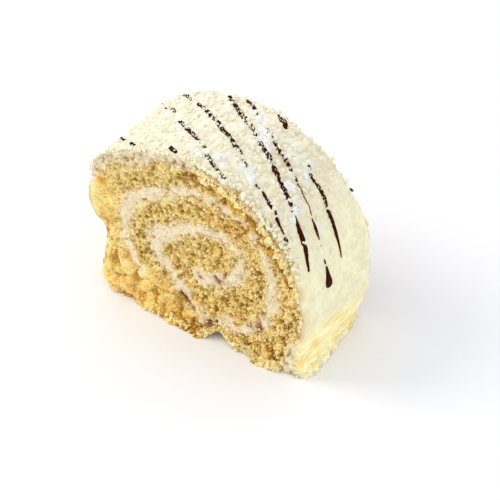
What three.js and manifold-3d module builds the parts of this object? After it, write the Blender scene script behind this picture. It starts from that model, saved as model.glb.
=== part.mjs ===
// A thick slice of Swiss roll, standing on its base with the cut face to the front.
// Units are millimetres. X runs along the cut face, Y through the slice (the front face
// looks towards -Y) and Z points up. The origin is the middle of the underside.

import * as THREE from 'three';
import Module from 'manifold-3d';

const wasm = await Module();
wasm.setup();

const { clamp, degToRad, lerp, smoothstep } = THREE.MathUtils;

// ---- Driving dimensions ----------------------------------------------------------------

const SLICE_DEPTH = 37;               // front cut face to back cut face, at mid width
const FRONT = -SLICE_DEPTH / 2;
const BACK_SLANT = 0.05;              // the back was cut askew: thinner towards +X, mm per mm
const GAP = 0.3;                      // clearance between sponge, filling and coating

// The roll is described in rays from its centre, one each RAY_STEP degrees.
const CENTRE = { x: 2, z: 25 };
const RAY_STEP = 5;
const CELL = 3.1;                     // largest edge of a facet along a ray

// The filling winds outwards, anticlockwise as seen from the front.
const SPIRAL_START = -120;            // degrees from +X
const SPIRAL_END = 570;
const SPIRAL_STEP = 30;
const SPIRAL_RADII = [3.4, 2.9, 3.2, 4.9, 9.1, 17.3, 18.2, 15.0, 13.0, 15.2, 16.9, 13.2,
  13.2, 17.5, 19.4, 24.5, 27.0, 28.7, 28.6, 28.0, 26.4, 29.5, 28.7, 23.7];
const CREAM_WIDTH = 3.4;
const CREAM_TIP_WIDTH = 1.8;          // at both ends of the spiral
const CREAM_TAPER = 25;               // degrees over which an end widens
const CREAM_POOL = { angle: 160, reach: 40, extra: 1.8 };  // a thicker patch, inner turn

// The coating lies over the top and down the right side: its outer line, left to right.
const COAT_LINE = [[-40, 41], [-38.6, 46.4], [-34.5, 52], [-22, 59.2], [-4, 63.8], [12, 62],
  [27, 53.7], [38, 40], [41.2, 24], [39.4, 9], [37.5, 0]];
// Its thickness against the distance along that line: thin at the left lip and down the
// side, and a spread foot where it meets the base.
const COAT_THICKNESS = [[0, 1.3], [12, 3.1], [76, 3.2], [94, 1.9], [104, 1.2], [122, 1.2],
  [129, 4.4], [138, 5.8]];
const RIM_DROP = 0.3;                 // share of the thickness lost at the back rim
const RIM_WIDTH = 3.5;
const COAT_STATIONS = 44;
const COAT_ROWS = 11;

// The bare flank of the sponge, from the base up the left side to the coating's lip.
const BARE_FLANK = [[-28, 0], [-33, 1.2], [-36.2, 4], [-36.4, 9], [-34.6, 15], [-36, 23],
  [-39.4, 29.3], [-40.3, 35.5], [-40.2, 38.4]];
const FLANK_TOP = 38;                 // the flank's relief ends just below the lip
const FLANK_ROWS = 9;
const HIDDEN_ROWS = 2;

// The right side leans in towards the back, most of all low down.
const TAPER_UPPER = 0.2;
const TAPER_LOWER = 1.2;
const TAPER_LOWER_TOP = 20;

// The foot of the coating against Y: how far it spreads past the outline at the floor.
const FOOT_SPREAD = [[-18.5, 0.6], [-15, 2.7], [-12, 3.1], [-8, 3], [-2, 1.8], [7, 1.1],
  [13, -0.4], [17, -1.4]];
const FOOT_HEIGHT = 10;

// The lower front edge is ragged: how far it stands out (+) against X.
const EDGE_BULGE = [[-35, -1.5], [-28, 0], [-10, 1.5], [0, 2.2], [3, 2], [7, -2.2],
  [12, -1.8], [15, -0.4], [22, 1.5], [30, 1.4], [36, -0.4], [40, -1.3]];
const EDGE_HEIGHT = 9;
const NOTCH = { x: 8.5, halfWidth: 5, height: 3, depth: 10, reach: 10 };

// Size of the surface relief, crest to mean.
const CRUMB_RELIEF = 0.7;
const COAT_RELIEF = 0.5;
const LUMP_SIZE = 4.6;

// Chocolate drizzle: each run is [distance along the coating, Y] at its start, middle and
// end, with its width at both ends.
const DRIZZLE_HEIGHT = 0.55;
const DRIZZLE_SINK = 0.9;
const DRIZZLE_STEP = 3.2;
const DRIZZLE = [
  { line: [[2, 0.2], [11, -8.3], [20, -14]], width: [0.8, 1.0] },
  { line: [[21, -14.6], [23, -15.7], [25, -16.8]], width: [1.6, 1.9] },
  { line: [[37.7, -14.3], [40, -16.1], [42, -17.6]], width: [1.6, 2.0] },
  { line: [[3.4, 18.9], [14, 10], [26, 2]], width: [0.9, 1.3] },
  { line: [[30.5, -0.9], [39, -5.3], [46, -9.8]], width: [1.0, 1.2] },
  { line: [[49, -11.8], [53.3, -14.2], [59.5, -17.2]], width: [1.1, 1.5] },
  { line: [[13.4, 18.8], [19, 16], [26, 11.1]], width: [1.0, 1.3] },
  { line: [[29, 9.8], [46.7, 0], [60.5, -7.8]], width: [1.2, 1.3] },
  { line: [[68, -10.7], [76, -12.9], [88.5, -16]], width: [1.3, 0.9] },
  { line: [[36, 16.6], [56.7, 3.3], [79, -6.8]], width: [1.2, 1.5] },
  { line: [[82.8, -8], [90, -10.4], [98.7, -13.6]], width: [1.5, 0.9] },
  { line: [[43, 16.6], [46.5, 14.8], [50.2, 12.4]], width: [1.3, 1.2] },
  { line: [[55.6, 9.4], [69, 3.3], [85.6, -2.2]], width: [1.2, 0.8] },
  { line: [[87, -2.8], [90, -3.5], [92.8, -4.2]], width: [0.8, 0.7] },
  { line: [[101, -5.8], [105.6, -6.1], [109.4, -5.7]], width: [0.8, 2.4] },
  { line: [[56, 16.6], [58.5, 15.3], [61, 13.1]], width: [1.5, 1.4] },
  { line: [[73, 9], [87, 4.8], [101.5, 1.9]], width: [1.4, 0.8] },
  { line: [[86.4, 15.8], [87.6, 16.2], [89, 16.6]], width: [1.2, 1.2] },
];

// Clumps of coconut on the coating: the angle turns one from along the line towards the back.
const FLAKES = [
  { distance: 64.7, y: -10, length: 5.4, width: 2.8, angle: -48 },
  { distance: 61, y: -8.6, length: 2.2, width: 1.6, angle: 20 },
  { distance: 51.8, y: 10.7, length: 2.8, width: 2.2, angle: 0 },
  { distance: 57.3, y: 6.6, length: 3.4, width: 2.2, angle: -60 },
  { distance: 58.6, y: 4.2, length: 3.6, width: 2.4, angle: -30 },
  { distance: 74.7, y: -2.5, length: 3.8, width: 3.2, angle: 10 },
  { distance: 79.6, y: -4.6, length: 3, width: 1.6, angle: -10 },
  { distance: 81.6, y: -7.2, length: 3, width: 1.8, angle: -50 },
  { distance: 82.8, y: -9.9, length: 2.8, width: 1.8, angle: 0 },
  { distance: 75.6, y: 4.8, length: 1.8, width: 1.5, angle: 0 },
  { distance: 48.4, y: -13.9, length: 2.4, width: 1.6, angle: -30 },
  { distance: 53.6, y: -12, length: 2.2, width: 1.8, angle: 30 },
  { distance: 72.6, y: 9.2, length: 2, width: 1.4, angle: 0 },
  { distance: 66.5, y: 1.4, length: 2, width: 1.4, angle: -40 },
];
const FLAKE_HEIGHT = 1.1;

// ---- Numbers -----------------------------------------------------------------------------

/** Straight-line interpolation in a list of [x, value] pairs. */
function lookUp(pairs, x) {
  const next = pairs.findIndex(([key]) => key > x);
  if (next === 0) return pairs[0][1];
  if (next < 0) return pairs[pairs.length - 1][1];
  const [x0, v0] = pairs[next - 1];
  const [x1, v1] = pairs[next];
  return lerp(v0, v1, (x - x0) / (x1 - x0));
}

/** A fixed pseudo-random number from 0 to 1 for a lattice point. */
function latticeValue(i, j, k) {
  const wave = Math.sin(i * 127.1 + j * 311.7 + k * 74.7) * 43758.5453;
  return wave - Math.floor(wave);
}

/** Smooth lumps from -1 to 1, about `size` apart. */
function lumps(x, y, z, size) {
  const at = [x, y, z].map((value) => value / size);
  const low = at.map(Math.floor);
  const [u, v, w] = at.map((value, axis) => smoothstep(value - low[axis], 0, 1));
  const corner = (i, j, k) => latticeValue(low[0] + i, low[1] + j, low[2] + k);
  const edge = (j, k) => lerp(corner(0, j, k), corner(1, j, k), u);
  const side = (k) => lerp(edge(0, k), edge(1, k), v);
  return 2 * lerp(side(0), side(1), w) - 1;
}

// ---- Outlines -----------------------------------------------------------------------------

const curveThrough = (points) => new THREE.CatmullRomCurve3(
  points.map(([x, z]) => new THREE.Vector3(x, 0, z)), false, 'catmullrom', 0.5);

const spiralCurve = new THREE.CatmullRomCurve3(
  SPIRAL_RADII.map((radius, i) => new THREE.Vector3(SPIRAL_START + SPIRAL_STEP * i, radius, 0)),
  false, 'catmullrom', 0.5);

/** Radius of the filling's middle line at an angle that counts on past 360. */
function spiralRadius(angle) {
  const u = (angle - SPIRAL_START) / (SPIRAL_END - SPIRAL_START);
  return spiralCurve.getPoint(clamp(u, 0, 1)).y;
}

function creamWidth(angle) {
  const fromEnd = Math.min(angle - SPIRAL_START, SPIRAL_END - angle);
  const pool = 1 - smoothstep(Math.abs(angle - CREAM_POOL.angle), 0, CREAM_POOL.reach);
  const full = CREAM_WIDTH + CREAM_POOL.extra * pool;
  return lerp(CREAM_TIP_WIDTH, full, smoothstep(fromEnd, 0, CREAM_TAPER));
}

/** Length along a ray of something that measures `size` square across the strip. */
function alongRay(angle, size) {
  const turn = spiralRadius(angle + 1) - spiralRadius(angle - 1);
  const slope = turn / (degToRad(2) * spiralRadius(angle));
  return size * Math.hypot(1, slope);
}

/** Radius of the strip's inner (-1) or outer (+1) face, moved off it by a clearance. */
function creamFace(angle, side, clearance = 0) {
  return spiralRadius(angle) + side * alongRay(angle, creamWidth(angle) / 2 + clearance);
}

const coatCurve = curveThrough(COAT_LINE);
const COAT_LENGTH = coatCurve.getLength();

/** The coating's outer line at a distance along it: place and outward direction. */
function coatLine(distance) {
  const u = clamp(distance / COAT_LENGTH, 0, 1);
  const place = coatCurve.getPointAt(u);
  const along = coatCurve.getTangentAt(u);
  return { x: place.x, z: place.z, outX: -along.z, outZ: along.x };
}

/** A point under the coating's outer line; the last one is kept on the floor. */
function underCoat(distance, depth) {
  const line = coatLine(distance);
  const atFloor = smoothstep(distance, COAT_LENGTH - FOOT_HEIGHT, COAT_LENGTH);
  return {
    x: line.x - line.outX * depth,
    z: line.z - line.outZ * depth * (1 - atFloor),
  };
}

/** The sponge's outline: under the coating, along the base and up the bare flank. */
function spongeOutline() {
  const outline = [];
  for (let i = 0; i <= COAT_STATIONS; i += 1) {
    const distance = (COAT_LENGTH * i) / COAT_STATIONS;
    outline.push(underCoat(distance, lookUp(COAT_THICKNESS, distance) + GAP));
  }
  const flank = curveThrough(BARE_FLANK).getPoints(3 * BARE_FLANK.length);
  flank.forEach(({ x, z }) => outline.push({ x, z: Math.max(z, 0) }));
  return outline;
}

/** Distance from the roll's centre to the farthest crossing of an outline, along a ray. */
function rayReach(outline, angle) {
  const dx = Math.cos(degToRad(angle));
  const dz = Math.sin(degToRad(angle));
  let reach = 0;
  outline.forEach((a, i) => {
    const b = outline[(i + 1) % outline.length];
    const [ax, az, bx, bz] = [a.x - CENTRE.x, a.z - CENTRE.z, b.x - a.x, b.z - a.z];
    const cross = dx * bz - dz * bx;
    if (Math.abs(cross) < 1e-9) return;
    const along = (ax * bz - az * bx) / cross;
    const part = (ax * dz - az * dx) / cross;
    if (part >= 0 && part <= 1) reach = Math.max(reach, along);
  });
  return reach;
}

// ---- Shape of the slice in depth -----------------------------------------------------------

/** How far the front or back cut face stands out at a place: edge bulge and crumbs. */
function faceRelief(x, z, y, crumbs) {
  const edge = y < 0 ? lookUp(EDGE_BULGE, x) : 0.3 * lookUp(EDGE_BULGE, -x);
  const low = (1 - clamp(z / EDGE_HEIGHT, 0, 1)) ** 2;
  return edge * low + crumbs * lumps(x, y, z, LUMP_SIZE);
}

/** Bends every part alike: the right side leans in, and the base has a small notch. */
function bend(x, y, z) {
  const back = clamp((y - FRONT) / SLICE_DEPTH, 0, 1);
  const right = clamp((x - 10) / 25, 0, 1);
  const lower = 1 - smoothstep(z, 0, TAPER_LOWER_TOP);
  const lean = (TAPER_UPPER + TAPER_LOWER * lower) * back * right;
  const across = 1 - smoothstep(Math.abs(x - NOTCH.x), 0, NOTCH.halfWidth);
  const inwards = 1 - smoothstep(y - FRONT, 0, NOTCH.depth);
  const above = (1 - clamp(z / NOTCH.reach, 0, 1)) ** 2;
  return new THREE.Vector3(x - lean, y, z + NOTCH.height * across * inwards * above);
}

const backPlane = (x) => -FRONT - BACK_SLANT * x;

/** Places a point of a flat drawing at a share of the depth, 0 in front and 1 behind. */
function placeInDepth(point, share, crumbs) {
  const front = FRONT - faceRelief(point.x, point.z, FRONT, crumbs);
  const back = backPlane(point.x) + faceRelief(point.x, point.z, -FRONT, crumbs);
  return bend(point.x, lerp(front, back, share), point.z);
}

// ---- Flat drawings and the solids raised from them -----------------------------------------

/** Collects the points and triangles of a flat drawing; equal points become one. */
class Drawing {
  constructor() {
    this.points = [];
    this.triangles = [];
    this.known = new Map();
  }

  point(x, z, extra = {}) {
    const key = `${x.toFixed(5)},${z.toFixed(5)}`;
    if (!this.known.has(key)) {
      this.known.set(key, this.points.length);
      this.points.push({ x, z, ...extra });
    }
    return this.known.get(key);
  }

  triangle(a, b, c) {
    if (a !== b && b !== c && c !== a) this.triangles.push([a, b, c]);
  }

  /** Fills the band between two rows of points, both listed from the inside outwards. */
  band(rowA, rowB) {
    const apart = (a, b) => Math.hypot(this.points[a].x - this.points[b].x,
      this.points[a].z - this.points[b].z);
    let i = 0;
    let j = 0;
    while (i < rowA.length - 1 || j < rowB.length - 1) {
      const stepA = i < rowA.length - 1 ? apart(rowA[i + 1], rowB[j]) : Infinity;
      const stepB = j < rowB.length - 1 ? apart(rowA[i], rowB[j + 1]) : Infinity;
      if (stepA <= stepB) {
        this.triangle(rowA[i], rowA[i + 1], rowB[j]);
        i += 1;
      } else {
        this.triangle(rowA[i], rowB[j + 1], rowB[j]);
        j += 1;
      }
    }
  }

  /** The edges that only one triangle uses, each in that triangle's direction. */
  rim() {
    const edges = new Map();
    this.triangles.forEach(([a, b, c]) => [[a, b], [b, c], [c, a]].forEach(([from, to]) => {
      if (!edges.delete(`${to},${from}`)) edges.set(`${from},${to}`, [from, to]);
    }));
    return [...edges.values()];
  }
}

/**
 * Raises a drawing into a closed solid: a front sheet, a back sheet and walls along the rim.
 * rowsAt gives the number of facets through the depth at a rim point, place its position.
 */
function raise(drawing, rowsAt, place) {
  const vertices = [];
  const triangles = [];
  const add = (point, share) => vertices.push(place(point, share)) - 1;
  const front = drawing.points.map((point) => add(point, 0));
  const back = drawing.points.map((point) => add(point, 1));
  drawing.triangles.forEach(([a, b, c]) => {
    triangles.push([front[a], front[b], front[c]], [back[a], back[c], back[b]]);
  });
  const columns = new Map();
  const columnAt = (id) => {
    if (!columns.has(id)) {
      const rows = rowsAt(drawing.points[id]);
      const inner = Array.from({ length: rows - 1 },
        (_, row) => add(drawing.points[id], (row + 1) / rows));
      columns.set(id, [front[id], ...inner, back[id]]);
    }
    return columns.get(id);
  };
  drawing.rim().forEach(([from, to]) => {
    const a = columnAt(from);
    const b = columnAt(to);
    for (let row = 0; row < a.length - 1; row += 1) {
      triangles.push([a[row], a[row + 1], b[row + 1]], [a[row], b[row + 1], b[row]]);
    }
  });
  return { vertices, triangles };
}

// ---- Sponge and filling ----------------------------------------------------------------------

const onRay = (angle, radius) => ({
  x: CENTRE.x + radius * Math.cos(degToRad(angle)),
  z: CENTRE.z + radius * Math.sin(degToRad(angle)),
});

/** A row of points along a ray, from one radius to another. */
function rayRow(drawing, angle, inner, outer, outside = false) {
  const cells = Math.max(1, Math.round((outer - inner) / CELL));
  return Array.from({ length: cells + 1 }, (_, i) => {
    const { x, z } = onRay(angle, lerp(inner, outer, i / cells));
    return drawing.point(x, z, { outside: outside && i === cells });
  });
}

/** The sponge between the turns of filling, drawn ray by ray over one full circle. */
function drawSponge() {
  const drawing = new Drawing();
  const outline = spongeOutline();
  const reach = (angle) => rayReach(outline, angle);
  const core = (angle) => rayRow(drawing, angle, 0, creamFace(angle, -1, GAP));
  const middle = (angle) => rayRow(drawing, angle,
    creamFace(angle, 1, GAP), creamFace(angle + 360, -1, GAP));
  const outer = (angle, turn) => rayRow(drawing, angle,
    creamFace(turn, 1, GAP), reach(angle), true);
  const lastTurn = SPIRAL_END - 360;
  for (let angle = SPIRAL_START; angle < SPIRAL_START + 360; angle += RAY_STEP) {
    const next = angle + RAY_STEP;
    const closes = next === SPIRAL_START + 360;
    const coreEnd = closes ? [...core(SPIRAL_START), ...middle(SPIRAL_START)] : core(next);
    drawing.band(core(angle), coreEnd);
    if (angle < lastTurn) {
      drawing.band(middle(angle), middle(next));
      drawing.band(outer(angle, angle + 360), outer(next, next + 360));
    } else {
      const start = angle === lastTurn
        ? [...middle(angle), ...outer(angle, angle + 360)] : outer(angle, angle);
      drawing.band(start, outer(next, next));
    }
  }
  return drawing;
}

function buildSponge() {
  const rows = (point) => (point.outside ? FLANK_ROWS : HIDDEN_ROWS);
  return raise(drawSponge(), rows, (point, share) => {
    const place = placeInDepth(point, share, CRUMB_RELIEF);
    const isFlank = point.outside && point.x < 0 && point.z < FLANK_TOP;
    if (isFlank) {
      const free = smoothstep(point.z, 0, 3) * (1 - smoothstep(point.z, 33, FLANK_TOP));
      place.x += CRUMB_RELIEF * free * lumps(point.x, place.y, point.z, LUMP_SIZE);
    }
    return place;
  });
}

/** The filling: one strip wound along the spiral, with its ends clear of the sponge. */
function buildCream() {
  const drawing = new Drawing();
  const endGap = (angle) => THREE.MathUtils.radToDeg(GAP / spiralRadius(angle));
  const first = SPIRAL_START + endGap(SPIRAL_START);
  const last = SPIRAL_END - endGap(SPIRAL_END);
  const angles = [first];
  for (let angle = SPIRAL_START; angle < SPIRAL_END; angle += RAY_STEP) {
    if (angle > first + 1) angles.push(angle);
  }
  angles.push(last);
  const rows = angles.map((angle) => {
    const cells = 2;
    return Array.from({ length: cells + 1 }, (_, i) => {
      const radius = lerp(creamFace(angle, -1), creamFace(angle, 1), i / cells);
      const { x, z } = onRay(angle, radius);
      return drawing.point(x, z);
    });
  });
  rows.slice(1).forEach((row, i) => drawing.band(rows[i], row));
  const smear = CRUMB_RELIEF / 2;
  return raise(drawing, () => HIDDEN_ROWS, (point, share) => placeInDepth(point, share, smear));
}

// ---- Coating, drizzle and flakes ---------------------------------------------------------------

/** How far the coating's skin stands off its line: crags, a worn back rim, a spread foot. */
function coatSwell(distance, y, { x, z }) {
  const fromRim = backPlane(x) - y;
  const drop = RIM_DROP * lookUp(COAT_THICKNESS, distance);
  const rim = -drop * (1 - smoothstep(fromRim, 0, RIM_WIDTH)) * smoothstep(z, 0, 9);
  const sideSmooth = smoothstep(distance, 84, 94) * (1 - smoothstep(distance, 116, 126));
  const crags = COAT_RELIEF * (1 - 0.75 * sideSmooth) * lumps(distance, y, 0, LUMP_SIZE);
  const foot = lookUp(FOOT_SPREAD, y) * (1 - clamp(z / FOOT_HEIGHT, 0, 1)) ** 2;
  return crags + rim + (distance > COAT_LENGTH / 2 ? foot : 0);
}

/** A point on the coating's skin, raised by `lift` off it, with its outward direction. */
function onCoat(distance, y, lift = 0) {
  const line = coatLine(distance);
  const swell = coatSwell(distance, y, line) + lift;
  const free = smoothstep(line.z, 0, 4);
  const place = bend(line.x + line.outX * swell, y, line.z + line.outZ * swell * free);
  return { place, out: new THREE.Vector3(line.outX, 0, line.outZ) };
}

function buildCoatShell() {
  const drawing = new Drawing();
  const rows = Array.from({ length: COAT_STATIONS + 1 }, (_, i) => {
    const distance = (COAT_LENGTH * i) / COAT_STATIONS;
    const thickness = lookUp(COAT_THICKNESS, distance);
    return [1, 0.5, 0].map((depth) => {
      const { x, z } = underCoat(distance, thickness * depth);
      return drawing.point(x, z, { distance, height: 1 - depth });
    });
  });
  rows.slice(1).forEach((row, i) => drawing.band(row, rows[i]));
  return raise(drawing, () => COAT_ROWS, (point, share) => {
    const place = placeInDepth(point, share, CRUMB_RELIEF);
    const line = coatLine(point.distance);
    const swell = point.height * coatSwell(point.distance, place.y, line);
    place.x += line.outX * swell;
    place.z = Math.max(place.z + line.outZ * swell * smoothstep(line.z, 0, 4), 0);
    return place;
  });
}

/** One run of drizzle: a low ridge, flat on top, sunk into the coating. */
function buildRidge({ line, width }) {
  const path = curveThrough(line);
  const steps = Math.max(2, Math.round(path.getLength() / DRIZZLE_STEP));
  const vertices = [];
  const triangles = [];
  for (let i = 0; i <= steps; i += 1) {
    const { x: distance, z: y } = path.getPointAt(i / steps);
    const along = path.getTangentAt(i / steps);
    const half = lerp(width[0], width[1], i / steps) / 2;
    const corner = (across, lift) => {
      const at = [distance - along.z * across, y + along.x * across];
      vertices.push(onCoat(at[0], at[1], lift).place);
    };
    corner(-half, -DRIZZLE_SINK);
    corner(half, -DRIZZLE_SINK);
    corner(0.6 * half, DRIZZLE_HEIGHT);
    corner(-0.6 * half, DRIZZLE_HEIGHT);
  }
  for (let i = 0; i < steps; i += 1) {
    for (let side = 0; side < 4; side += 1) {
      const a = 4 * i + side;
      const b = 4 * i + ((side + 1) % 4);
      triangles.push([a, b, b + 4], [a, b + 4, a + 4]);
    }
  }
  const end = 4 * steps;
  triangles.push([0, 2, 1], [0, 3, 2], [end, end + 1, end + 2], [end, end + 2, end + 3]);
  return { vertices, triangles };
}

/** One flake: a squashed uneven lump lying on the coating. */
function buildFlake({ distance, y, length, width, angle }) {
  const turn = degToRad(angle);
  const detail = length > 3 ? 1 : 0;
  const merged = mergeCorners(new THREE.IcosahedronGeometry(1, detail));
  const { place, out } = onCoat(distance, y);
  const along = new THREE.Vector3(out.z, 0, -out.x);
  const inwards = new THREE.Vector3(0, 1, 0);
  const vertices = merged.vertices.map((corner) => {
    const uneven = 1 + 0.25 * lumps(3 * corner.x + distance, 3 * corner.y + y, 3 * corner.z, 1);
    const u = corner.x * Math.cos(turn) - corner.y * Math.sin(turn) * (width / length);
    const v = corner.x * Math.sin(turn) + corner.y * Math.cos(turn) * (width / length);
    return place.clone()
      .addScaledVector(along, 0.5 * length * uneven * u)
      .addScaledVector(inwards, 0.5 * length * uneven * v)
      .addScaledVector(out, FLAKE_HEIGHT * uneven * corner.z);
  });
  return { vertices, triangles: merged.triangles };
}

/** Reads a geometry's triangles, with corners at one place made one. */
function mergeCorners(geometry) {
  const position = geometry.getAttribute('position');
  const known = new Map();
  const vertices = [];
  const ids = [];
  for (let i = 0; i < position.count; i += 1) {
    const corner = new THREE.Vector3().fromBufferAttribute(position, i);
    const key = corner.toArray().map((value) => value.toFixed(5)).join();
    if (!known.has(key)) known.set(key, vertices.push(corner) - 1);
    ids.push(known.get(key));
  }
  const triangles = [];
  for (let i = 0; i < ids.length; i += 3) triangles.push(ids.slice(i, i + 3));
  return { vertices, triangles };
}

function buildCoating() {
  return fuse([buildCoatShell(), ...DRIZZLE.map(buildRidge), ...FLAKES.map(buildFlake)]);
}

// ---- Closed meshes -------------------------------------------------------------------------------

function asSolid({ vertices, triangles }) {
  return new wasm.Manifold(new wasm.Mesh({
    numProp: 3,
    vertProperties: Float32Array.from(vertices.flatMap((vertex) => vertex.toArray())),
    triVerts: Uint32Array.from(triangles.flat()),
  }));
}

/** Joins closed meshes and keeps the largest body, so loose scraps and hollows go. */
function fuse(meshes) {
  const whole = meshes.map(asSolid).reduce((sum, solid) => sum.add(solid));
  const [largest] = whole.simplify(0.02).decompose().sort((a, b) => b.volume() - a.volume());
  const { vertProperties, triVerts } = largest.getMesh();
  const vertices = [];
  const triangles = [];
  for (let i = 0; i < vertProperties.length; i += 3) {
    vertices.push(new THREE.Vector3().fromArray(vertProperties, i));
  }
  for (let i = 0; i < triVerts.length; i += 3) {
    triangles.push([...triVerts.slice(i, i + 3)]);
  }
  return { vertices, triangles };
}

function makeMesh(name, { vertices, triangles }, { color, roughness }) {
  const geometry = new THREE.BufferGeometry().setFromPoints(vertices);
  geometry.setIndex(triangles.flat());
  geometry.computeVertexNormals();
  const material = new THREE.MeshStandardMaterial({ color, roughness, metalness: 0 });
  const mesh = new THREE.Mesh(geometry, material);
  mesh.name = name;
  return mesh;
}

// ---- The slice ---------------------------------------------------------------------------------------

const slice = new THREE.Group();
slice.add(
  makeMesh('sponge', buildSponge(), { color: 0xdcb56c, roughness: 0.9 }),
  makeMesh('cream_filling', buildCream(), { color: 0xe9d5a8, roughness: 0.6 }),
  makeMesh('coating', buildCoating(), { color: 0xf3eecd, roughness: 0.65 }),
);

// The origin is the middle of the underside of the whole slice.
const box = new THREE.Box3().setFromObject(slice);
const middle = box.getCenter(new THREE.Vector3());
slice.position.set(-middle.x, -middle.y, -box.min.z);

export default slice;
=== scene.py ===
"""A thick slice of Swiss roll: open crumb, smeared filling, cream coating, drizzle and flakes.

The shapes are worked out in millimetres on a drawing of the cut face: X along the face to the
coated side, Z up, and Y through the slice from the front cut to the back one.
"""

import math
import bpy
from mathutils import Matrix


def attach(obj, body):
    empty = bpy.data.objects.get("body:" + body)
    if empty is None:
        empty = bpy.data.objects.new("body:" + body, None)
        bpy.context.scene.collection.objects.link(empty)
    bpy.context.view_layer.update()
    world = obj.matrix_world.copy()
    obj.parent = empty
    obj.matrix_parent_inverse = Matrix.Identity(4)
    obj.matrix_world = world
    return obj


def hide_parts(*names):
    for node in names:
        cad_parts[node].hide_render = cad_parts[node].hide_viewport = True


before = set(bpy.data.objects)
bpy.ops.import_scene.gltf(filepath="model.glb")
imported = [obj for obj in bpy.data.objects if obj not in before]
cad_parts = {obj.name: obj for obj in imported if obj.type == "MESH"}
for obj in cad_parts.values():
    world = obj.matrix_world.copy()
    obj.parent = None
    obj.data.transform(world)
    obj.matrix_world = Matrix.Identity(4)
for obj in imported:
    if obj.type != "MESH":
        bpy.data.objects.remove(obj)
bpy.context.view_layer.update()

from types import SimpleNamespace

import bpy
import numpy as np
from bpy.props import FloatProperty, FloatVectorProperty, IntProperty, PointerProperty
from mathutils import Vector

bl_info = {
    "name": "Swiss Roll Slice",
    "version": (1, 0, 0),
    "blender": (4, 5, 0),
    "location": "View3D > Sidebar > Swiss Roll",
    "description": "Builds the crumb, filling, coating and drizzle of a slice of Swiss roll",
    "category": "Add Mesh",
}

MM = 0.001

# ---- The drawing ----

SHIFT = np.array([-0.45, 0.08, 0.0])  # from the drawing's origin to the frame's
SLICE_DEPTH = 37.0                    # front cut to back cut, at mid width
FRONT = -SLICE_DEPTH / 2
BACK_SLANT = 0.05                     # the back was cut askew, mm per mm of X

CENTRE = np.array([2.0, 25.0])        # the filling winds outwards round this point
SPIRAL_START = -120                   # degrees from +X
SPIRAL_STEP = 30
SPIRAL_RADII = [3.4, 2.9, 3.2, 4.9, 9.1, 17.3, 18.2, 15.0, 13.0, 15.2, 16.9, 13.2,
                13.2, 17.5, 19.4, 24.5, 27.0, 28.7, 28.6, 28.0, 26.4, 29.5, 28.7, 23.7]
SPIRAL_END = SPIRAL_START + SPIRAL_STEP * (len(SPIRAL_RADII) - 1)
CREAM_TIP_WIDTH = 1.8
CREAM_TAPER = 25                      # degrees over which an end widens
CREAM_POOL = {"angle": 160, "reach": 40, "extra": 1.8}

# The coating's outer line, left to right, and its thickness against distance along it.
COAT_LINE = [(-40, 41), (-38.6, 46.4), (-34.5, 52), (-22, 59.2), (-4, 63.8), (12, 62),
             (27, 53.7), (38, 40), (41.2, 24), (39.4, 9), (37.5, 0)]
COAT_THICKNESS = [(0, 1.3), (12, 3.1), (76, 3.2), (94, 1.9), (104, 1.2), (122, 1.2),
                  (129, 4.4), (138, 5.8)]
RIM_DROP = 0.3                        # share of the thickness lost at the back rim
RIM_WIDTH = 3.5

# The bare flank of the sponge, from the base up the left side to the coating's lip.
BARE_FLANK = [(-28, 0), (-33, 1.2), (-36.2, 4), (-36.4, 9), (-34.6, 15), (-36, 23),
              (-39.4, 29.3), (-40.3, 35.5), (-40.2, 38.4)]

# The right side leans in towards the back, the foot spreads, the lower edge is ragged.
TAPER_FROM = 10                       # X where the lean starts
TAPER_OVER = 25
TAPER_UPPER = 0.2
TAPER_LOWER = 1.2
TAPER_LOWER_TOP = 20
FOOT_SPREAD = [(-18.5, 0.6), (-15, 2.7), (-12, 3.1), (-8, 3), (-2, 1.8), (7, 1.1),
               (13, -0.4), (17, -1.4)]
FOOT_HEIGHT = 10
EDGE_BULGE = [(-35, -1.5), (-28, 0), (-10, 1.5), (0, 2.2), (3, 2), (7, -2.2),
              (12, -1.8), (15, -0.4), (22, 1.5), (30, 1.4), (36, -0.4), (40, -1.3)]
EDGE_HEIGHT = 9
BACK_EDGE_BULGE = 0.3                 # share of the front edge's bulge
NOTCH = {"x": 8.5, "half_width": 5, "height": 3, "depth": 10, "reach": 10}

FACE_LUMPS = 0.7                      # broad unevenness of the cut faces, crest to mean
COAT_LUMPS = 0.5
LUMP_SIZE = 4.6

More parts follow.
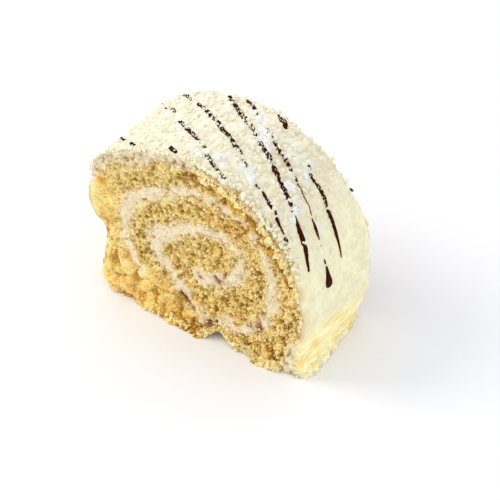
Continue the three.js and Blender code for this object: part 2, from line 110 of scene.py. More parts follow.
# Drizzle runs: (distance along the coating, Y) at start, middle and end, the widths there, and
# how far crumbs break the run up, from 0 (whole) to 1 (only threads).
DRIZZLE = [
    ((8, -6.2), (14, -10.4), (20.5, -14.2), (0.6, 0.8, 0.7), 1.0),
    ((21.5, -14.8), (24, -16.2), (26.5, -17.3), (0.6, 1.2, 1.0), 0.5),
    ((37.7, -14.8), (40.2, -16.2), (42.6, -17.6), (1.3, 1.5, 1.2), 0.3),
    ((3.4, 18.9), (14, 10), (26, 3.6), (0.8, 1.1, 1.3), 1.0),
    ((30, -0.4), (36.7, -4.5), (48.1, -10.6), (1.2, 1.5, 0.9), 0.8),
    ((49.6, -12.2), (55.1, -15.4), (60.9, -17.5), (1.5, 1.4, 1.2), 0.6),
    ((13.4, 18.8), (19, 15.8), (26, 11.8), (0.8, 1.2, 1.2), 0.9),
    ((28.8, 10), (46.7, 0), (62.1, -8.6), (1.3, 1.5, 1.7), 0.72),
    ((67.2, -10), (68.4, -11.2), (70.6, -11.1), (0.4, 0.7, 1.2), 0.6),
    ((70.6, -11.2), (75.6, -12.9), (78.9, -13.6), (0.7, 1.5, 0.7), 0.45),
    ((79.2, -14.3), (81.9, -14.9), (84.8, -15.5), (1.5, 0.9, 0.5), 0.0),
    ((85.2, -15.8), (87.2, -16.1), (90, -16.8), (1.0, 1.4, 0.8), 0.8),
    ((36, 16.6), (44.7, 10.6), (56, 4), (1.4, 1.7, 1.7), 0.68),
    ((57.7, 2.7), (61.4, 1.2), (67.5, -1.5), (1.0, 1.4, 1.8), 0.65),
    ((66.3, -1.8), (74, -4.6), (79.8, -6.9), (1.6, 1.7, 1.4), 0.5),
    ((80.6, -7.8), (89, -10.2), (98.7, -13.6), (0.4, 1.9, 0.8), 0.0),
    ((43, 16.2), (46.5, 14.8), (50.6, 12), (1.4, 1.3, 0.4), 0.4),
    ((56, 8.8), (64.2, 4.8), (72, 1.8), (1.3, 1.6, 1.2), 0.68),
    ((73.3, 1.7), (74.3, 1.2), (75.3, 0.8), (0.7, 0.7, 0.5), 0.5),
    ((75.5, 0.6), (80.2, -0.9), (85.7, -2.6), (0.55, 0.4, 0.3), 0.0),
    ((86.2, -2.9), (89.6, -3.8), (93, -4.6), (0.4, 1.0, 0.35), 0.0),
    ((94.4, -5), (94.6, -5.1), (94.8, -5.1), (0.4, 0.4, 0.4), 0.0),
    ((55.2, 16.1), (58.1, 14.6), (60.8, 12.9), (1.2, 2.3, 1.1), 0.5),
    ((73.3, 8.3), (74.1, 8), (74.9, 7.8), (0.8, 1.0, 0.7), 0.4),
    ((75.5, 6.9), (81.1, 5.8), (86.8, 4.4), (1.2, 1.6, 1.3), 0.55),
    ((87.3, 4.2), (94.8, 2.4), (102.6, 1.5), (1.5, 1.2, 0.35), 0.0),
    ((87, 16.9), (87.7, 17), (88.4, 17.1), (0.3, 0.5, 0.3), 0.0),
    ((98.7, -5.8), (99.6, -5.9), (100.5, -6), (0.4, 0.7, 0.4), 0.0),
    ((101, -5.8), (105.4, -5.9), (108.6, -5.9), (0.5, 2.3, 3.5), 0.0),
]

# Coconut clumps: (distance, Y, length, width, angle from the line in degrees).
FLAKES = [(64.7, -10, 6.8, 3.5, -48), (61, -8.6, 2.8, 2, 20), (52, 10.5, 4.2, 3.0, -40),
          (49.2, 12.8, 2.5, 2, 0), (56, 7.2, 5.0, 3.0, -50), (59.5, 3.8, 5.0, 3, -40),
          (62.3, 1.9, 3, 2, -30), (74.7, -2.5, 4.8, 4, 10),
          (79.6, -4.6, 3.8, 2, -10), (81.6, -7.2, 3.8, 2.2, -50), (82.8, -9.9, 3.5, 2.2, 0),
          (75.6, 4.8, 2.2, 1.9, 0), (73.2, 4.4, 2, 1.5, 60), (48.4, -13.9, 3, 2, -30),
          (53.6, -12, 2.8, 2.2, 30), (72.6, 9.2, 2.5, 1.8, 0), (66.5, 1.4, 2.5, 1.8, -40)]

# Places where the coating is smeared white and bluish: (distance, Y, radius, strength).
WHITE_MARKS = [(64.5, -9.8, 3, 0.9), (58, 5.2, 3.6, 1.0), (74.7, -2.5, 2.4, 0.8),
               (80.4, -5.6, 2.8, 1.0), (82.4, -9.6, 2.2, 0.8), (51.5, 11, 2.2, 0.8),
               (54.6, -11.4, 3.4, 0.7), (48, -14.6, 2.2, 0.7), (73.8, 8.4, 2.4, 0.8),
               (75.6, 4.6, 2.2, 0.6), (88, -1.2, 1.3, 0.7), (90.6, -2, 1.3, 0.7),
               (97, -7, 1.8, 0.5), (98.6, -9, 1.6, 0.5), (103.5, 0, 1.8, 0.5),
               (84, 9.5, 2, 0.4), (93, 6.4, 2, 0.3), (68.4, 8.6, 2.2, 0.5)]

# Marks on the front cut, as (x, z, radius, strength). Cover is crumb that hides the filling
# (mm off its edge), or filling spread past its edge where it is negative. Calm crumb is
# flatter and cooler than the rest.
COVER = [(9, 50.8, 3, 1.6), (13, 49.5, 3, 2.0), (18, 47.3, 3.5, 2.6), (23.5, 45, 3.5, 2.4),
         (28.5, 37, 3, 1.0), (26.5, 20, 3, 1.4), (15.5, 36, 3.2, 1.2), (4, 43, 3, 0.5),
         (7, 24, 4.5, -1.6), (-17, 30, 4, -0.7), (-27.5, 35, 4, -0.5), (25, 15.5, 2.5, -0.8),
         (-13, 51, 5, 0.5), (0, 41.5, 4.5, 1.0), (-9, 14.5, 3, 1.2), (-16, 46.5, 4, 0.4)]
CALM_PATCHES = [(16, 40, 7, 0.4), (-5.5, 27, 6, 0.3)]
# Orange marks: the strongest, at the top left tip, is the crust's own orange; the weaker ones are
# painted ochre shade.
ORANGE_MARKS = [(-35.4, 41.2, 1.8, 1.0), (-33.8, 41.8, 1.2, 0.8), (-31.7, 40.2, 0.9, 0.4),
                (-31.2, 38.2, 0.8, 0.45), (-35.5, 29.9, 1.1, 0.45), (-31.8, 31.8, 1.0, 0.45),
                (-33.4, 26.3, 0.9, 0.55), (-25.2, 17.4, 1.6, 0.4), (-25.3, 5.6, 1.4, 0.45),
                (-21.9, 5.3, 1.5, 0.4), (-11.5, 12.2, 2.2, 0.25), (20.4, 29.3, 1.3, 0.3)]
FRUIT_STAINS = [(-15.8, 33.7, 0.8, 0.7), (-5, 12, 1.3, 1.1), (-3.8, 10.8, 1.2, 1.1),
                (-2.2, 9.7, 0.9, 0.9), (-0.7, 8.4, 0.9, 0.9), (1.4, 23.4, 0.8, 0.8),
                (2.3, 22, 1.0, 1.1), (9.2, 23.7, 1.4, 1.3), (7.9, 24.5, 0.8, 1.2),
                (11.4, 27, 0.8, 1.2), (10.9, 25.6, 0.5, 0.9), (5.6, 5.6, 1.6, 1.2),
                (8.1, 6.4, 0.7, 1.1), (17, 28.6, 1.2, 0.5), (24.6, 14, 1.7, 0.9),
                (21.5, 12.8, 1.3, 0.8), (22.6, 33.8, 1.6, 0.4)]
HOLES = [(-9.8, 27, 1.2, 0.6), (-26, 17.2, 1.8, 0.6), (-18.5, 22.4, 0.7, 0.9),
         (-17, 21.8, 0.7, 0.9), (-15.3, 21.2, 0.7, 0.8), (12.5, 18.6, 1.5, 0.6),
         (5.8, 6.9, 0.6, 1.0), (8, 7.2, 0.5, 1.0), (10.5, 7.6, 0.4, 0.9), (32.3, 12.4, 1, 0.7),
         (29, 45.5, 1.2, 0.7), (35.6, 41, 1.1, 0.8), (25.5, 49, 1, 0.6), (30.8, 50.6, 1, 0.7)]

# Balls, pores and hollows of the crumb: size in mm, and the number that sets each kind apart.
FINE, MEDIUM, BIG, CLUMP = (0.8, 3), (1.4, 2), (2.5, 1), (4.6, 6)
PORE, HOLLOW, CLOD = (1.8, 4), (4.4, 8), (3.8, 5)
# The same for the coating's clumps and grains, its torn rims, its teeth and the flakes' shreds.
COAT_CLUMP, COAT_GRAIN, RIM_GRAIN = (3.0, 11), (1.5, 12), (1.7, 14)
TOOTH, BIG_TOOTH, SHRED = (1.2, 15), (2.6, 16), (1.1, 17)

# Stretches along the coating's line: over these one finish gives way to the next.
TOP_TO_SIDE = (74, 100)
SIDE_TO_FOOT = (117, 128)
# Where the side was smoothed, from one range to another: it is flat, its front rim clean and
# its corner rounded.
FLAT_SIDE = ((84, 94), (116, 126))
CLEAN_RIM = ((92, 102), (120, 126))
ROUND_RIM = ((94, 104), (120, 127))

# Grids, and how finely lines are sampled.
SNAP_REACH = 0.52                     # cells from the edge within which points move onto it
SNAP_ROUNDS = 4
LINE_SAMPLES = 3000                   # points along the coating's line
FLANK_SAMPLES = 400
OUTLINE_SAMPLES = 600
DRAWING_LOW = (-42.0, 0.0)            # the drawing's grid reaches from here
DRAWING_HIGH = (42.0, 62.0)           # to here
FLANK_STEP = 1.4                      # cells from point to point through the bare flank
STRIP_CELLS = 16                      # cells across the strip of filling
RIM_CELLS = 9                         # rows of points down each rim of the coating

# How one piece is set into the next, and how its edges are finished.
BARE_RIGHT = -26                      # the bare flank is left of this X and below this Z
BARE_TOP = 39.5
FLANK_DIP = 0.9                       # how far the cuts fall away at the bare flank
STRIP_TUCK = 0.05                     # how far the strip's sides reach into the sponge
STRIP_DIP = 0.06                      # how far its edges on the cut lie below its middle
COAT_TUCK = 0.6                       # how far the coating reaches into the sponge
COAT_TUCK_LUMPS = 0.8                 # and how much lumps add to that or take off
COAT_CLOSING = 0.35                   # share of the way to mid depth that its ends draw in
COAT_CORNER = 2.4                     # extra rounding where the side was smoothed
COAT_DEEPEST = 0.85                   # share of the thickness that the rounding may take
COAT_ABOVE_FLOOR = 0.6                # the skin stays this high until its lowest edge

# How drizzle and flakes are laid: size of a grid cell, width of the rounded edge, how deep
# that edge is sunk into the skin, and the share of the coating's relief that they follow.
DRIZZLE_LAY = SimpleNamespace(cell=0.12, rounding=0.25, sunk=0.12, follow=0.8)
FLAKE_LAY = SimpleNamespace(cell=0.25, rounding=0.9, sunk=0.1, follow=1.0)
LAY_DEPTH = 0.5                       # how deep their undersides lie
DRIZZLE_REACH = 1.4                   # how far a run may spread from its middle line

# Loose crumbs: seed, and the least and greatest size, before their place adds to it.
SPONGE_CRUMBS = SimpleNamespace(seed=21, smallest=0.35, largest=1.3)
COATING_CRUMBS = SimpleNamespace(seed=22, smallest=0.5, largest=1.9)
CRUMB_PUSH = 0.3                      # share that a crumb's corners are pushed in or out
CRUMB_SQUASH = 0.35                   # greatest share that it is squashed along an axis


def smoothstep(x, low, high):
    """Share that rises from 0 to 1 between low and high: t^2 (3 - 2 t)."""
    t = np.clip((x - low) / (high - low), 0, 1)
    return t * t * (3 - 2 * t)


def between(x, rise, fall):
    """Share that rises from 0 to 1 over one range and falls back over a later one."""
    return smoothstep(x, *rise) * (1 - smoothstep(x, *fall))


def mix(a, b, share):
    """The value a share of the way from a to b."""
    return a + (b - a) * share


def look_up(pairs, x):
    """Straight-line interpolation in a list of (x, value) pairs, level past its ends."""
    keys, values = np.array(pairs, float).T
    return np.interp(x, keys, values)


def catmull(values, at):
    """Catmull-Rom curve through the rows of values, read at fractional row numbers.

    Between two rows the curve is the cubic with those ends, whose slopes are half the
    difference of the rows on either side; past the ends the rows go on in a straight line.
    """
    values = np.asarray(values, float)
    rows = np.concatenate([[2 * values[0] - values[1]], values, [2 * values[-1] - values[-2]]])
    at = np.clip(at, 0, len(values) - 1)
    low = np.minimum(at.astype(int), len(values) - 2)
    t = at - low
    if values.ndim > 1:
        t = t[..., None]
    before, start, end, after = (rows[low + i] for i in range(4))
    leave, arrive = (end - before) / 2, (after - start) / 2
    return (start + t * leave + t**2 * (3 * (end - start) - 2 * leave - arrive)
            + t**3 * (2 * (start - end) + leave + arrive))


# ---- Fixed noise ----


def lattice_value(i, j, k):
    """A fixed pseudo-random number from 0 to 1 for a lattice point."""
    wave = np.sin(i * 127.1 + j * 311.7 + k * 74.7) * 43758.5453
    return wave - np.floor(wave)


def lumps(x, y, z, size):
    """Smooth lumps from -1 to 1, about size apart: lattice values, blended with smoothstep."""
    at = [np.asarray(value, float) / size for value in np.broadcast_arrays(x, y, z)]
    low = [np.floor(value) for value in at]
    u, v, w = (smoothstep(value - base, 0, 1) for value, base in zip(at, low))

    def corner(i, j, k):
        return lattice_value(low[0] + i, low[1] + j, low[2] + k)

    def side(k):
        return mix(mix(corner(0, 0, k), corner(1, 0, k), u),
                   mix(corner(0, 1, k), corner(1, 1, k), u), v)

    return 2 * mix(side(0), side(1), w) - 1


def pebbles(x, y, z, size, seed=0):
    """Balls scattered one to each cube of `size`: height of the nearest ball and its number.

    Height is sqrt(1 - (d / r)^2) at distance d from a ball of radius r, and 0 outside every
    ball; r runs from 0.5 to 1 cube. The number is the ball's own, from 0 to 1.
    """
    at = [np.asarray(value, float) / size for value in np.broadcast_arrays(x, y, z)]
    low = [np.floor(value) for value in at]
    best = np.full(at[0].shape, -1.0)
    own = np.zeros(at[0].shape)
    for step in np.ndindex(3, 3, 3):
        cell = [base + move - 1 for base, move in zip(low, step)]
        key = [cell[0] + 31 * seed, cell[1] - 17 * seed, cell[2] + 7 * seed]
        pick = [lattice_value(key[0] + 101 * n, key[1], key[2]) for n in range(4)]
        squared = sum((a - c - p) ** 2 for a, c, p in zip(at, cell, pick))
        height = 1 - squared / (0.5 + 0.5 * pick[3]) ** 2
        nearer = height > best
        best = np.where(nearer, height, best)
        own = np.where(nearer, pick[3], own)
    return np.sqrt(np.clip(best, 0, 1)), own


# ---- Outlines ----


def spiral_radius(angle):
    """Radius of the filling's middle line at an angle in degrees that counts on past 360."""
    return catmull(SPIRAL_RADII, (angle - SPIRAL_START) / SPIRAL_STEP)


def cream_width(angle, full_width):
    """Width of the strip at an angle: narrow at its two tips, wider where cream pooled."""
    from_end = np.minimum(angle - SPIRAL_START, SPIRAL_END - angle)
    pool = 1 - smoothstep(np.abs(angle - CREAM_POOL["angle"]), 0, CREAM_POOL["reach"])
    full = full_width + CREAM_POOL["extra"] * pool
    return mix(CREAM_TIP_WIDTH, full, smoothstep(from_end, 0, CREAM_TAPER))


def strip_slant(angle):
    """Length along a ray of one millimetre measured square across the strip."""
    turn = spiral_radius(angle + 1) - spiral_radius(angle - 1)
    return np.hypot(1, turn / (math.radians(2) * spiral_radius(angle)))


def strip_gap(x, z, full_width):
    """Distance from the filling's strip: positive in the sponge, negative in the strip.

    For each turn it is |radius - spiral radius| / slant - half the width; past the strip's
    ends the distance along the arc counts too, which rounds the corners.
    """
    radius = np.hypot(x - CENTRE[0], z - CENTRE[1])
    base = np.degrees(np.arctan2(z - CENTRE[1], x - CENTRE[0]))
    base = (base - SPIRAL_START) % 360 + SPIRAL_START
    gap = np.full(np.shape(x), 1e3)
    for turn in (-360, 0, 360):
        angle = base + turn
        held = np.clip(angle, SPIRAL_START, SPIRAL_END)
        across = np.abs(radius - spiral_radius(held)) / strip_slant(held)
        across = across - cream_width(held, full_width) / 2
        past = np.maximum(SPIRAL_START - angle, angle - SPIRAL_END)
        beyond = radius * np.radians(past)
        outside = np.hypot(np.maximum(across, 0), np.maximum(beyond, 0))
        inside = np.maximum(across, beyond)
        gap = np.minimum(gap, np.where(inside < 0, inside, outside))
    return gap


def measure_coat_line():
    """The coating's outer line as distances, places and outward directions."""
    dense = catmull(COAT_LINE, np.linspace(0, len(COAT_LINE) - 1, LINE_SAMPLES))
    steps = np.hypot(*np.diff(dense, axis=0).T)
    distance = np.concatenate([[0], np.cumsum(steps)])
    along = np.gradient(dense, distance, axis=0)
    along /= np.linalg.norm(along, axis=1, keepdims=True)
    return distance, dense, np.stack([-along[:, 1], along[:, 0]], 1)


LINE_DISTANCE, LINE_PLACE, LINE_OUT = measure_coat_line()
COAT_LENGTH = LINE_DISTANCE[-1]


def coat_line(distance):
    """The coating's outer line at distances along it: x, z and the outward direction."""
    columns = np.concatenate([LINE_PLACE, LINE_OUT], 1).T
    return [np.interp(distance, LINE_DISTANCE, column) for column in columns]


def under_coat(distance, depth):
    """Points at a depth under the coating's outer line; the last one is on the floor."""
    x, z, out_x, out_z = coat_line(distance)
    at_floor = smoothstep(distance, COAT_LENGTH - FOOT_HEIGHT, COAT_LENGTH)
    return x - out_x * depth, z - out_z * depth * (1 - at_floor)


def sponge_reach():
    """The sponge's outline in rays from the centre: their angles and lengths."""
    distance = np.linspace(0, COAT_LENGTH, OUTLINE_SAMPLES)
    top = np.stack(under_coat(distance, look_up(COAT_THICKNESS, distance)), 1)
    flank = catmull(BARE_FLANK, np.linspace(0, len(BARE_FLANK) - 1, FLANK_SAMPLES))
    floor = np.linspace(top[-1], flank[0], OUTLINE_SAMPLES)
    outline = np.concatenate([top, floor, flank]) - CENTRE
    angle = np.degrees(np.arctan2(outline[:, 1], outline[:, 0]))
    order = np.argsort(angle)
    return angle[order], np.hypot(*outline.T)[order]


REACH_ANGLES, REACH_LENGTHS = sponge_reach()


def outline_gap(x, z):
    """Distance inwards from the sponge's outline, measured along the ray from the centre."""
    angle = np.degrees(np.arctan2(z - CENTRE[1], x - CENTRE[0]))
    reach = np.interp(angle, REACH_ANGLES, REACH_LENGTHS, period=360)
    return reach - np.hypot(x - CENTRE[0], z - CENTRE[1])


# ---- Shape of the slice in depth ----


def back_plane(x):
    """Y of the back cut, which was made askew."""
    return -FRONT - BACK_SLANT * x


def face_relief(x, z, y):
    """How far a cut face stands out: the ragged lower edge and broad lumps."""
    edge = np.where(y < 0, look_up(EDGE_BULGE, x), BACK_EDGE_BULGE * look_up(EDGE_BULGE, -x))
    low = (1 - np.clip(z / EDGE_HEIGHT, 0, 1)) ** 2
    return edge * low + FACE_LUMPS * lumps(x, y, z, LUMP_SIZE)


def in_depth(x, z, share):
    """Y at a share of the depth, 0 on the front cut and 1 on the back one."""
    front = FRONT - face_relief(x, z, FRONT)
    back = back_plane(x) + face_relief(x, z, -FRONT)
    return mix(front, back, share)


def bend(x, y, z):
    """Bends every piece alike: the right side leans in, and the base has a small notch."""
    back = np.clip((y - FRONT) / SLICE_DEPTH, 0, 1)
    right = np.clip((x - TAPER_FROM) / TAPER_OVER, 0, 1)
    lower = 1 - smoothstep(z, 0, TAPER_LOWER_TOP)
    lean = (TAPER_UPPER + TAPER_LOWER * lower) * back * right
    across = 1 - smoothstep(np.abs(x - NOTCH["x"]), 0, NOTCH["half_width"])
    inwards = 1 - smoothstep(y - FRONT, 0, NOTCH["depth"])
    above = (1 - np.clip(z / NOTCH["reach"], 0, 1)) ** 2
    return np.stack([x - lean, y, z + NOTCH["height"] * across * inwards * above], -1)


# ---- Meshes ----


def linear(hex_colour):
    """An sRGB hex colour as linear red, green, blue and alpha."""
    channels = [int(hex_colour[i:i + 2], 16) / 255 for i in (1, 3, 5)]
    return tuple(c / 12.92 if c <= 0.04045 else ((c + 0.055) / 1.055) ** 2.4
                 for c in channels) + (1.0,)


def make_piece(name, points, triangles, material, attributes=None, smooth=True):
    """Makes a mesh from drawing points in mm, with its material and point attributes.

    Smooth says of each triangle, or of all, whether it is shaded smooth.
    """
    place = ((points + SHIFT) * MM).astype(np.float32)
    corners = np.ascontiguousarray(triangles, np.int32)
    mesh = bpy.data.meshes.new(name)
    mesh.vertices.add(len(place))
    mesh.vertices.foreach_set("co", place.ravel())
    mesh.loops.add(corners.size)
    mesh.loops.foreach_set("vertex_index", corners.ravel())
    mesh.polygons.add(len(corners))
    mesh.polygons.foreach_set("loop_start", np.arange(0, corners.size, 3, dtype=np.int32))
    mesh.polygons.foreach_set("use_smooth", np.full(len(corners), smooth))
    for key, values in (attributes or {}).items():
        layer = mesh.attributes.new(key, "FLOAT", "POINT")
        layer.data.foreach_set("value", np.asarray(values, np.float32))
    mesh.update()
    mesh.validate()
    mesh.materials.append(material)
    piece = bpy.data.objects.new(name, mesh)
    bpy.context.scene.collection.objects.link(piece)
    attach(piece, "root")
    return piece


def gradient(gap, x, z, step=0.02):
    """Slope of a function of the drawing, by differences of twice the step."""
    return np.stack([gap(x + step, z) - gap(x - step, z),
                     gap(x, z + step) - gap(x, z - step)]) / (2 * step)


def fill_drawing(gap, cell, low, high):
    """Fills the region of the drawing where gap > 0 with a square grid fitted to its edge.

    Grid points just over half a cell or less from the edge move onto it, down the slope of
    gap. Each square is two triangles, parted along the diagonal that leaves out an outside
    corner. Returns the points (n, 2), the triangles, and which points are on the edge.
    """
    columns = np.arange(low[0], high[0] + cell, cell)
    rows = np.arange(low[1], high[1] + cell, cell)
    x, z = (values.ravel() for values in np.meshgrid(columns, rows, indexing="ij"))
    steepness = np.linalg.norm(gradient(gap, x, z), axis=0)
    near = np.abs(gap(x, z)) < SNAP_REACH * cell * steepness
    for _ in range(SNAP_ROUNDS):
        slope = gradient(gap, x[near], z[near])
        move = gap(x[near], z[near]) / np.maximum((slope**2).sum(0), 1e-6)
        x[near] -= np.clip(move * slope[0], -cell / 2, cell / 2)
        z[near] -= np.clip(move * slope[1], -cell / 2, cell / 2)
    z[near & (np.abs(z - low[1]) < cell / 4)] = low[1]
    state = np.where(near, 0, np.where(gap(x, z) > 0, 1, -1))
    ids = np.arange(len(x)).reshape(len(columns), len(rows))
    a, b, c, d = (part.ravel() for part in
                  (ids[:-1, :-1], ids[1:, :-1], ids[1:, 1:], ids[:-1, 1:]))
    other = np.minimum(state[a], state[c]) < np.minimum(state[b], state[d])
    first = np.stack([a, b, np.where(other, d, c)], 1)
    second = np.stack([np.where(other, b, a), c, d], 1)
    triangles = np.concatenate([first, second])
    middle = gap(x[triangles].mean(1), z[triangles].mean(1))
    keep = (state[triangles].min(1) >= 0) & ((state[triangles].max(1) > 0) | (middle > 0))
    used, triangles = np.unique(triangles[keep], return_inverse=True)
    return np.stack([x, z], 1)[used], triangles.reshape(-1, 3), state[used] == 0


def rim_edges(triangles):
    """Edges that only one triangle uses, each in that triangle's direction."""
    edges = np.concatenate([triangles[:, [0, 1]], triangles[:, [1, 2]], triangles[:, [2, 0]]])
    count = int(edges.max()) + 1
    forth = edges[:, 0] * count + edges[:, 1]
    return edges[~np.isin(forth, edges[:, 1] * count + edges[:, 0])]


def loop_grid(rows, columns):
    """Triangles of a grid of rows x columns points whose columns close into a loop."""
    ids = np.arange(rows * columns).reshape(rows, columns)
    a, b = ids[:-1], ids[1:]
    c, d = np.roll(b, -1, 1), np.roll(a, -1, 1)
    return np.concatenate([np.stack([a, b, c], -1).reshape(-1, 3),
                           np.stack([a, c, d], -1).reshape(-1, 3)])


def fan(loop, pole, flip):
    """Triangles that close a loop of points onto a pole."""
    following = np.roll(loop, -1)
    poles = np.full(len(loop), pole)
    order = (poles, following, loop) if flip else (poles, loop, following)
    return np.stack(order, 1)


def closed_tube(points):
    """A tube through rows of closed loops (rows, columns, 3), with a pole at each end."""
    rows, columns = points.shape[:2]
    poles = points[[0, -1]].mean(1)
    count = rows * columns
    triangles = np.concatenate([
        loop_grid(rows, columns),
        fan(np.arange(columns), count, False),
        fan(np.arange(count - columns, count), count + 1, True),
    ])
    return np.concatenate([points.reshape(-1, 3), poles]), triangles


def with_poles(shown):
    """Values on a closed tube's rows and columns as one list, each pole's after the rest."""
    return {key: np.append(values.ravel(), values[[0, -1], 0]) for key, values in shown.items()}


def thick_sheet(top, bottom, triangles):
    """A closed solid between two sheets with the same triangles, walled along their rim."""
    count = len(top)
    a, b = rim_edges(triangles).T
    wall = np.concatenate([np.stack([b, a, a + count], 1), np.stack([b, a + count, b + count], 1)])
    faces = np.concatenate([triangles, triangles[:, ::-1] + count, wall])
    return np.concatenate([top, bottom]), faces


def icosahedron():
    """The twelve corners and twenty faces of an icosahedron with corners at distance 1."""
    golden = (1 + math.sqrt(5)) / 2
    base = np.array([(0, a, b * golden) for a in (-1, 1) for b in (-1, 1)])
    corners = np.concatenate([np.roll(base, shift, 1) for shift in range(3)])
    apart = np.linalg.norm(corners[:, None] - corners[None], axis=2)
    joined = apart < 2.1  # the edges are 2 long
    faces = np.array([(i, j, k) for i in range(len(corners)) for j in range(i) for k in range(j)
                      if joined[i, j] and joined[j, k] and joined[i, k]])
    a, b, c = corners[faces].transpose(1, 0, 2)
    inward = (np.cross(b - a, c - a) * (a + b + c)).sum(1) < 0
    faces[inward] = faces[inward][:, ::-1]
    return corners / math.hypot(1, golden), faces


def random_turns(random, count):
    """Rotation matrices (count, 3, 3) from random unit quaternions."""
    quaternions = random.normal(size=(4, count))
    w, x, y, z = quaternions / np.linalg.norm(quaternions, axis=0)
    return np.stack([
        np.stack([1 - 2 * (y * y + z * z), 2 * (x * y - w * z), 2 * (x * z + w * y)], -1),
        np.stack([2 * (x * y + w * z), 1 - 2 * (x * x + z * z), 2 * (y * z - w * x)], -1),
        np.stack([2 * (x * z - w * y), 2 * (y * z + w * x), 1 - 2 * (x * x + y * y)], -1),
    ], -2)


def scatter_crumbs(random, places, sizes):
    """Uneven crumbs: icosahedra whose corners are pushed in or out at random.

    Each crumb is scaled by its size, squashed at random along each of its own axes, turned
    at random, and set at its place, but not below the base.
    """
    corners, faces = icosahedron()
    count = len(places)
    push = random.uniform(-CRUMB_PUSH, CRUMB_PUSH, (count, len(corners), 1))
    shapes = corners[None] * (1 + push) * (1 - CRUMB_SQUASH * random.random((count, 1, 3)))
    shapes = np.einsum("nij,nkj->nki", random_turns(random, count), shapes)
    points = places[:, None] + shapes * (sizes / 2)[:, None, None]
    points[..., 2] = np.maximum(points[..., 2], 0)
    triangles = faces[None] + len(corners) * np.arange(count)[:, None, None]
    return points.reshape(-1, 3), triangles.reshape(-1, 3)


# ---- Materials ----


def set_inputs(tree, node, inputs):
    """Sets or links a node's inputs: a value, an output, or a node for its first output in use.

    An input is named, or numbered where several share a name.
    """
    for key, value in inputs.items():
        if isinstance(key, str):
            socket = next(s for s in node.inputs if s.enabled and s.name == key)
        else:
            socket = node.inputs[key]
        if isinstance(value, bpy.types.Node):
            value = next(output for output in value.outputs if output.enabled)
        if isinstance(value, bpy.types.NodeSocket):
            tree.links.new(value, socket)
        else:
            socket.default_value = value


def add_node(tree, kind, inputs=None, stops=(), **settings):
    """Adds a node: settings are its properties, stops a colour ramp's (place, colour) pairs."""
    node = tree.nodes.new(kind)
    for key, value in settings.items():
        setattr(node, key, value)
    set_inputs(tree, node, inputs or {})
    for number, (position, colour) in enumerate(stops):
        elements = node.color_ramp.elements
        element = elements[number] if number < len(elements) else elements.new(position)
        element.position = position
        element.color = colour
    return node


def new_material(name, roughness, subsurface=0.0, subsurface_mm=1.0, specular=0.5):
    """A material with only an output and a Principled shader, whose fixed values are set."""
    material = bpy.data.materials.new(name)
    material.use_nodes = True
    tree = material.node_tree
    tree.nodes.clear()
    shader = add_node(tree, "ShaderNodeBsdfPrincipled", {
        "Roughness": roughness, "Specular IOR Level": specular,
        "Subsurface Weight": subsurface, "Subsurface Scale": subsurface_mm * MM,
        "Subsurface Radius": (1.0, 0.8, 0.5)})
    add_node(tree, "ShaderNodeOutputMaterial", {"Surface": shader})
    return material, tree, shader


def per_metre(size_mm):
    """Noise scale on object coordinates for features of a size in millimetres."""
    return 1 / (size_mm * MM)


def torn_material(name, sponge, cream, roughness, subsurface):
    """The torn cut: crumb shaded from pore to crest, cream smeared over it, fruit and orange.

    Sponge and filling share it, because each is dragged over the other along their border.
    Attributes place the broad shares; the colour follows the relief, painted shade in the
    pores and lighter on the crests. Grains about 1 mm wide, painted light in the middle and
    painted shade between, carry the crumb on to what the mesh is too coarse for, and the hue
    drifts a little over 4 mm.
    """
    material, tree, shader = new_material(name, roughness, subsurface, subsurface_mm=0.7,
                                          specular=0.2)
    place = add_node(tree, "ShaderNodeTexCoord").outputs["Object"]
    crest, skin, smear, orange, stain, warm = (
        add_node(tree, "ShaderNodeAttribute", attribute_name=key).outputs["Fac"]
        for key in ("crest", "skin", "cream", "orange", "stain", "warm"))
    noise = add_node(tree, "ShaderNodeTexNoise", {
        "Vector": place, "Scale": per_metre(1.0), "Detail": 4.0, "Roughness": 0.75})
    cells = add_node(tree, "ShaderNodeTexVoronoi", {
        "Vector": place, "Scale": per_metre(0.8), "Detail": 1.0, "Roughness": 0.6})
    drift = add_node(tree, "ShaderNodeTexNoise", {
        "Vector": place, "Scale": per_metre(4.0), "Detail": 2.0, "Roughness": 0.5})
    grain = add_node(tree, "ShaderNodeMath", {0: cells, 1: -0.75, 2: noise},
                     operation="MULTIPLY_ADD")
    height = add_node(tree, "ShaderNodeMath", {0: grain, 1: crest}, operation="ADD")
    # Low stops of both colour runs: painted shade in the hollows of the crumb and of the flank.
    inside, outside = (
        add_node(tree, "ShaderNodeValToRGB", {"Fac": height},
                 [(0.0, deep), (0.45, middle), (1.0, sponge.crest_colour)])
        for deep, middle in ((sponge.pore_shade_colour, sponge.crumb_colour),
                             (sponge.skin_pore_shade_colour, sponge.skin_colour)))
    hue = add_node(tree, "ShaderNodeValToRGB", {"Fac": drift},
                   [(0.38, linear("#fff6f0")), (0.62, linear("#fcfee8"))])
    frayed = add_node(tree, "ShaderNodeMath", {0: noise, 1: 2.2, 2: smear},
                      operation="MULTIPLY_ADD")
    covered = add_node(tree, "ShaderNodeMapRange", {
        "Value": frayed, "From Min": 1.1, "From Max": 1.9, "To Max": 0.95})
    creamy = add_node(tree, "ShaderNodeMix", {
        "Factor": height, "A": cream.shade_colour, "B": cream.colour}, data_type="RGBA")
    shown = inside
    # The orange tint is partly the crust's own colour and partly painted ochre shade.
    for share, tint, blend in (
            (skin, outside, "MIX"), (warm, linear("#f8e2a3"), "MULTIPLY"),
            (1.0, hue, "MULTIPLY"), (covered, creamy, "MIX"),
            (orange, linear("#cf9024"), "MIX"), (stain, linear("#a05a1e"), "MULTIPLY")):
        shown = add_node(tree, "ShaderNodeMix", {"Factor": share, "A": shown, "B": tint},
                         data_type="RGBA", blend_type=blend)
    bump = add_node(tree, "ShaderNodeBump", {
        "Height": grain, "Strength": 0.7, "Distance": 0.3 * MM})
    set_inputs(tree, shader, {"Base Color": shown, "Normal": bump})
    return material


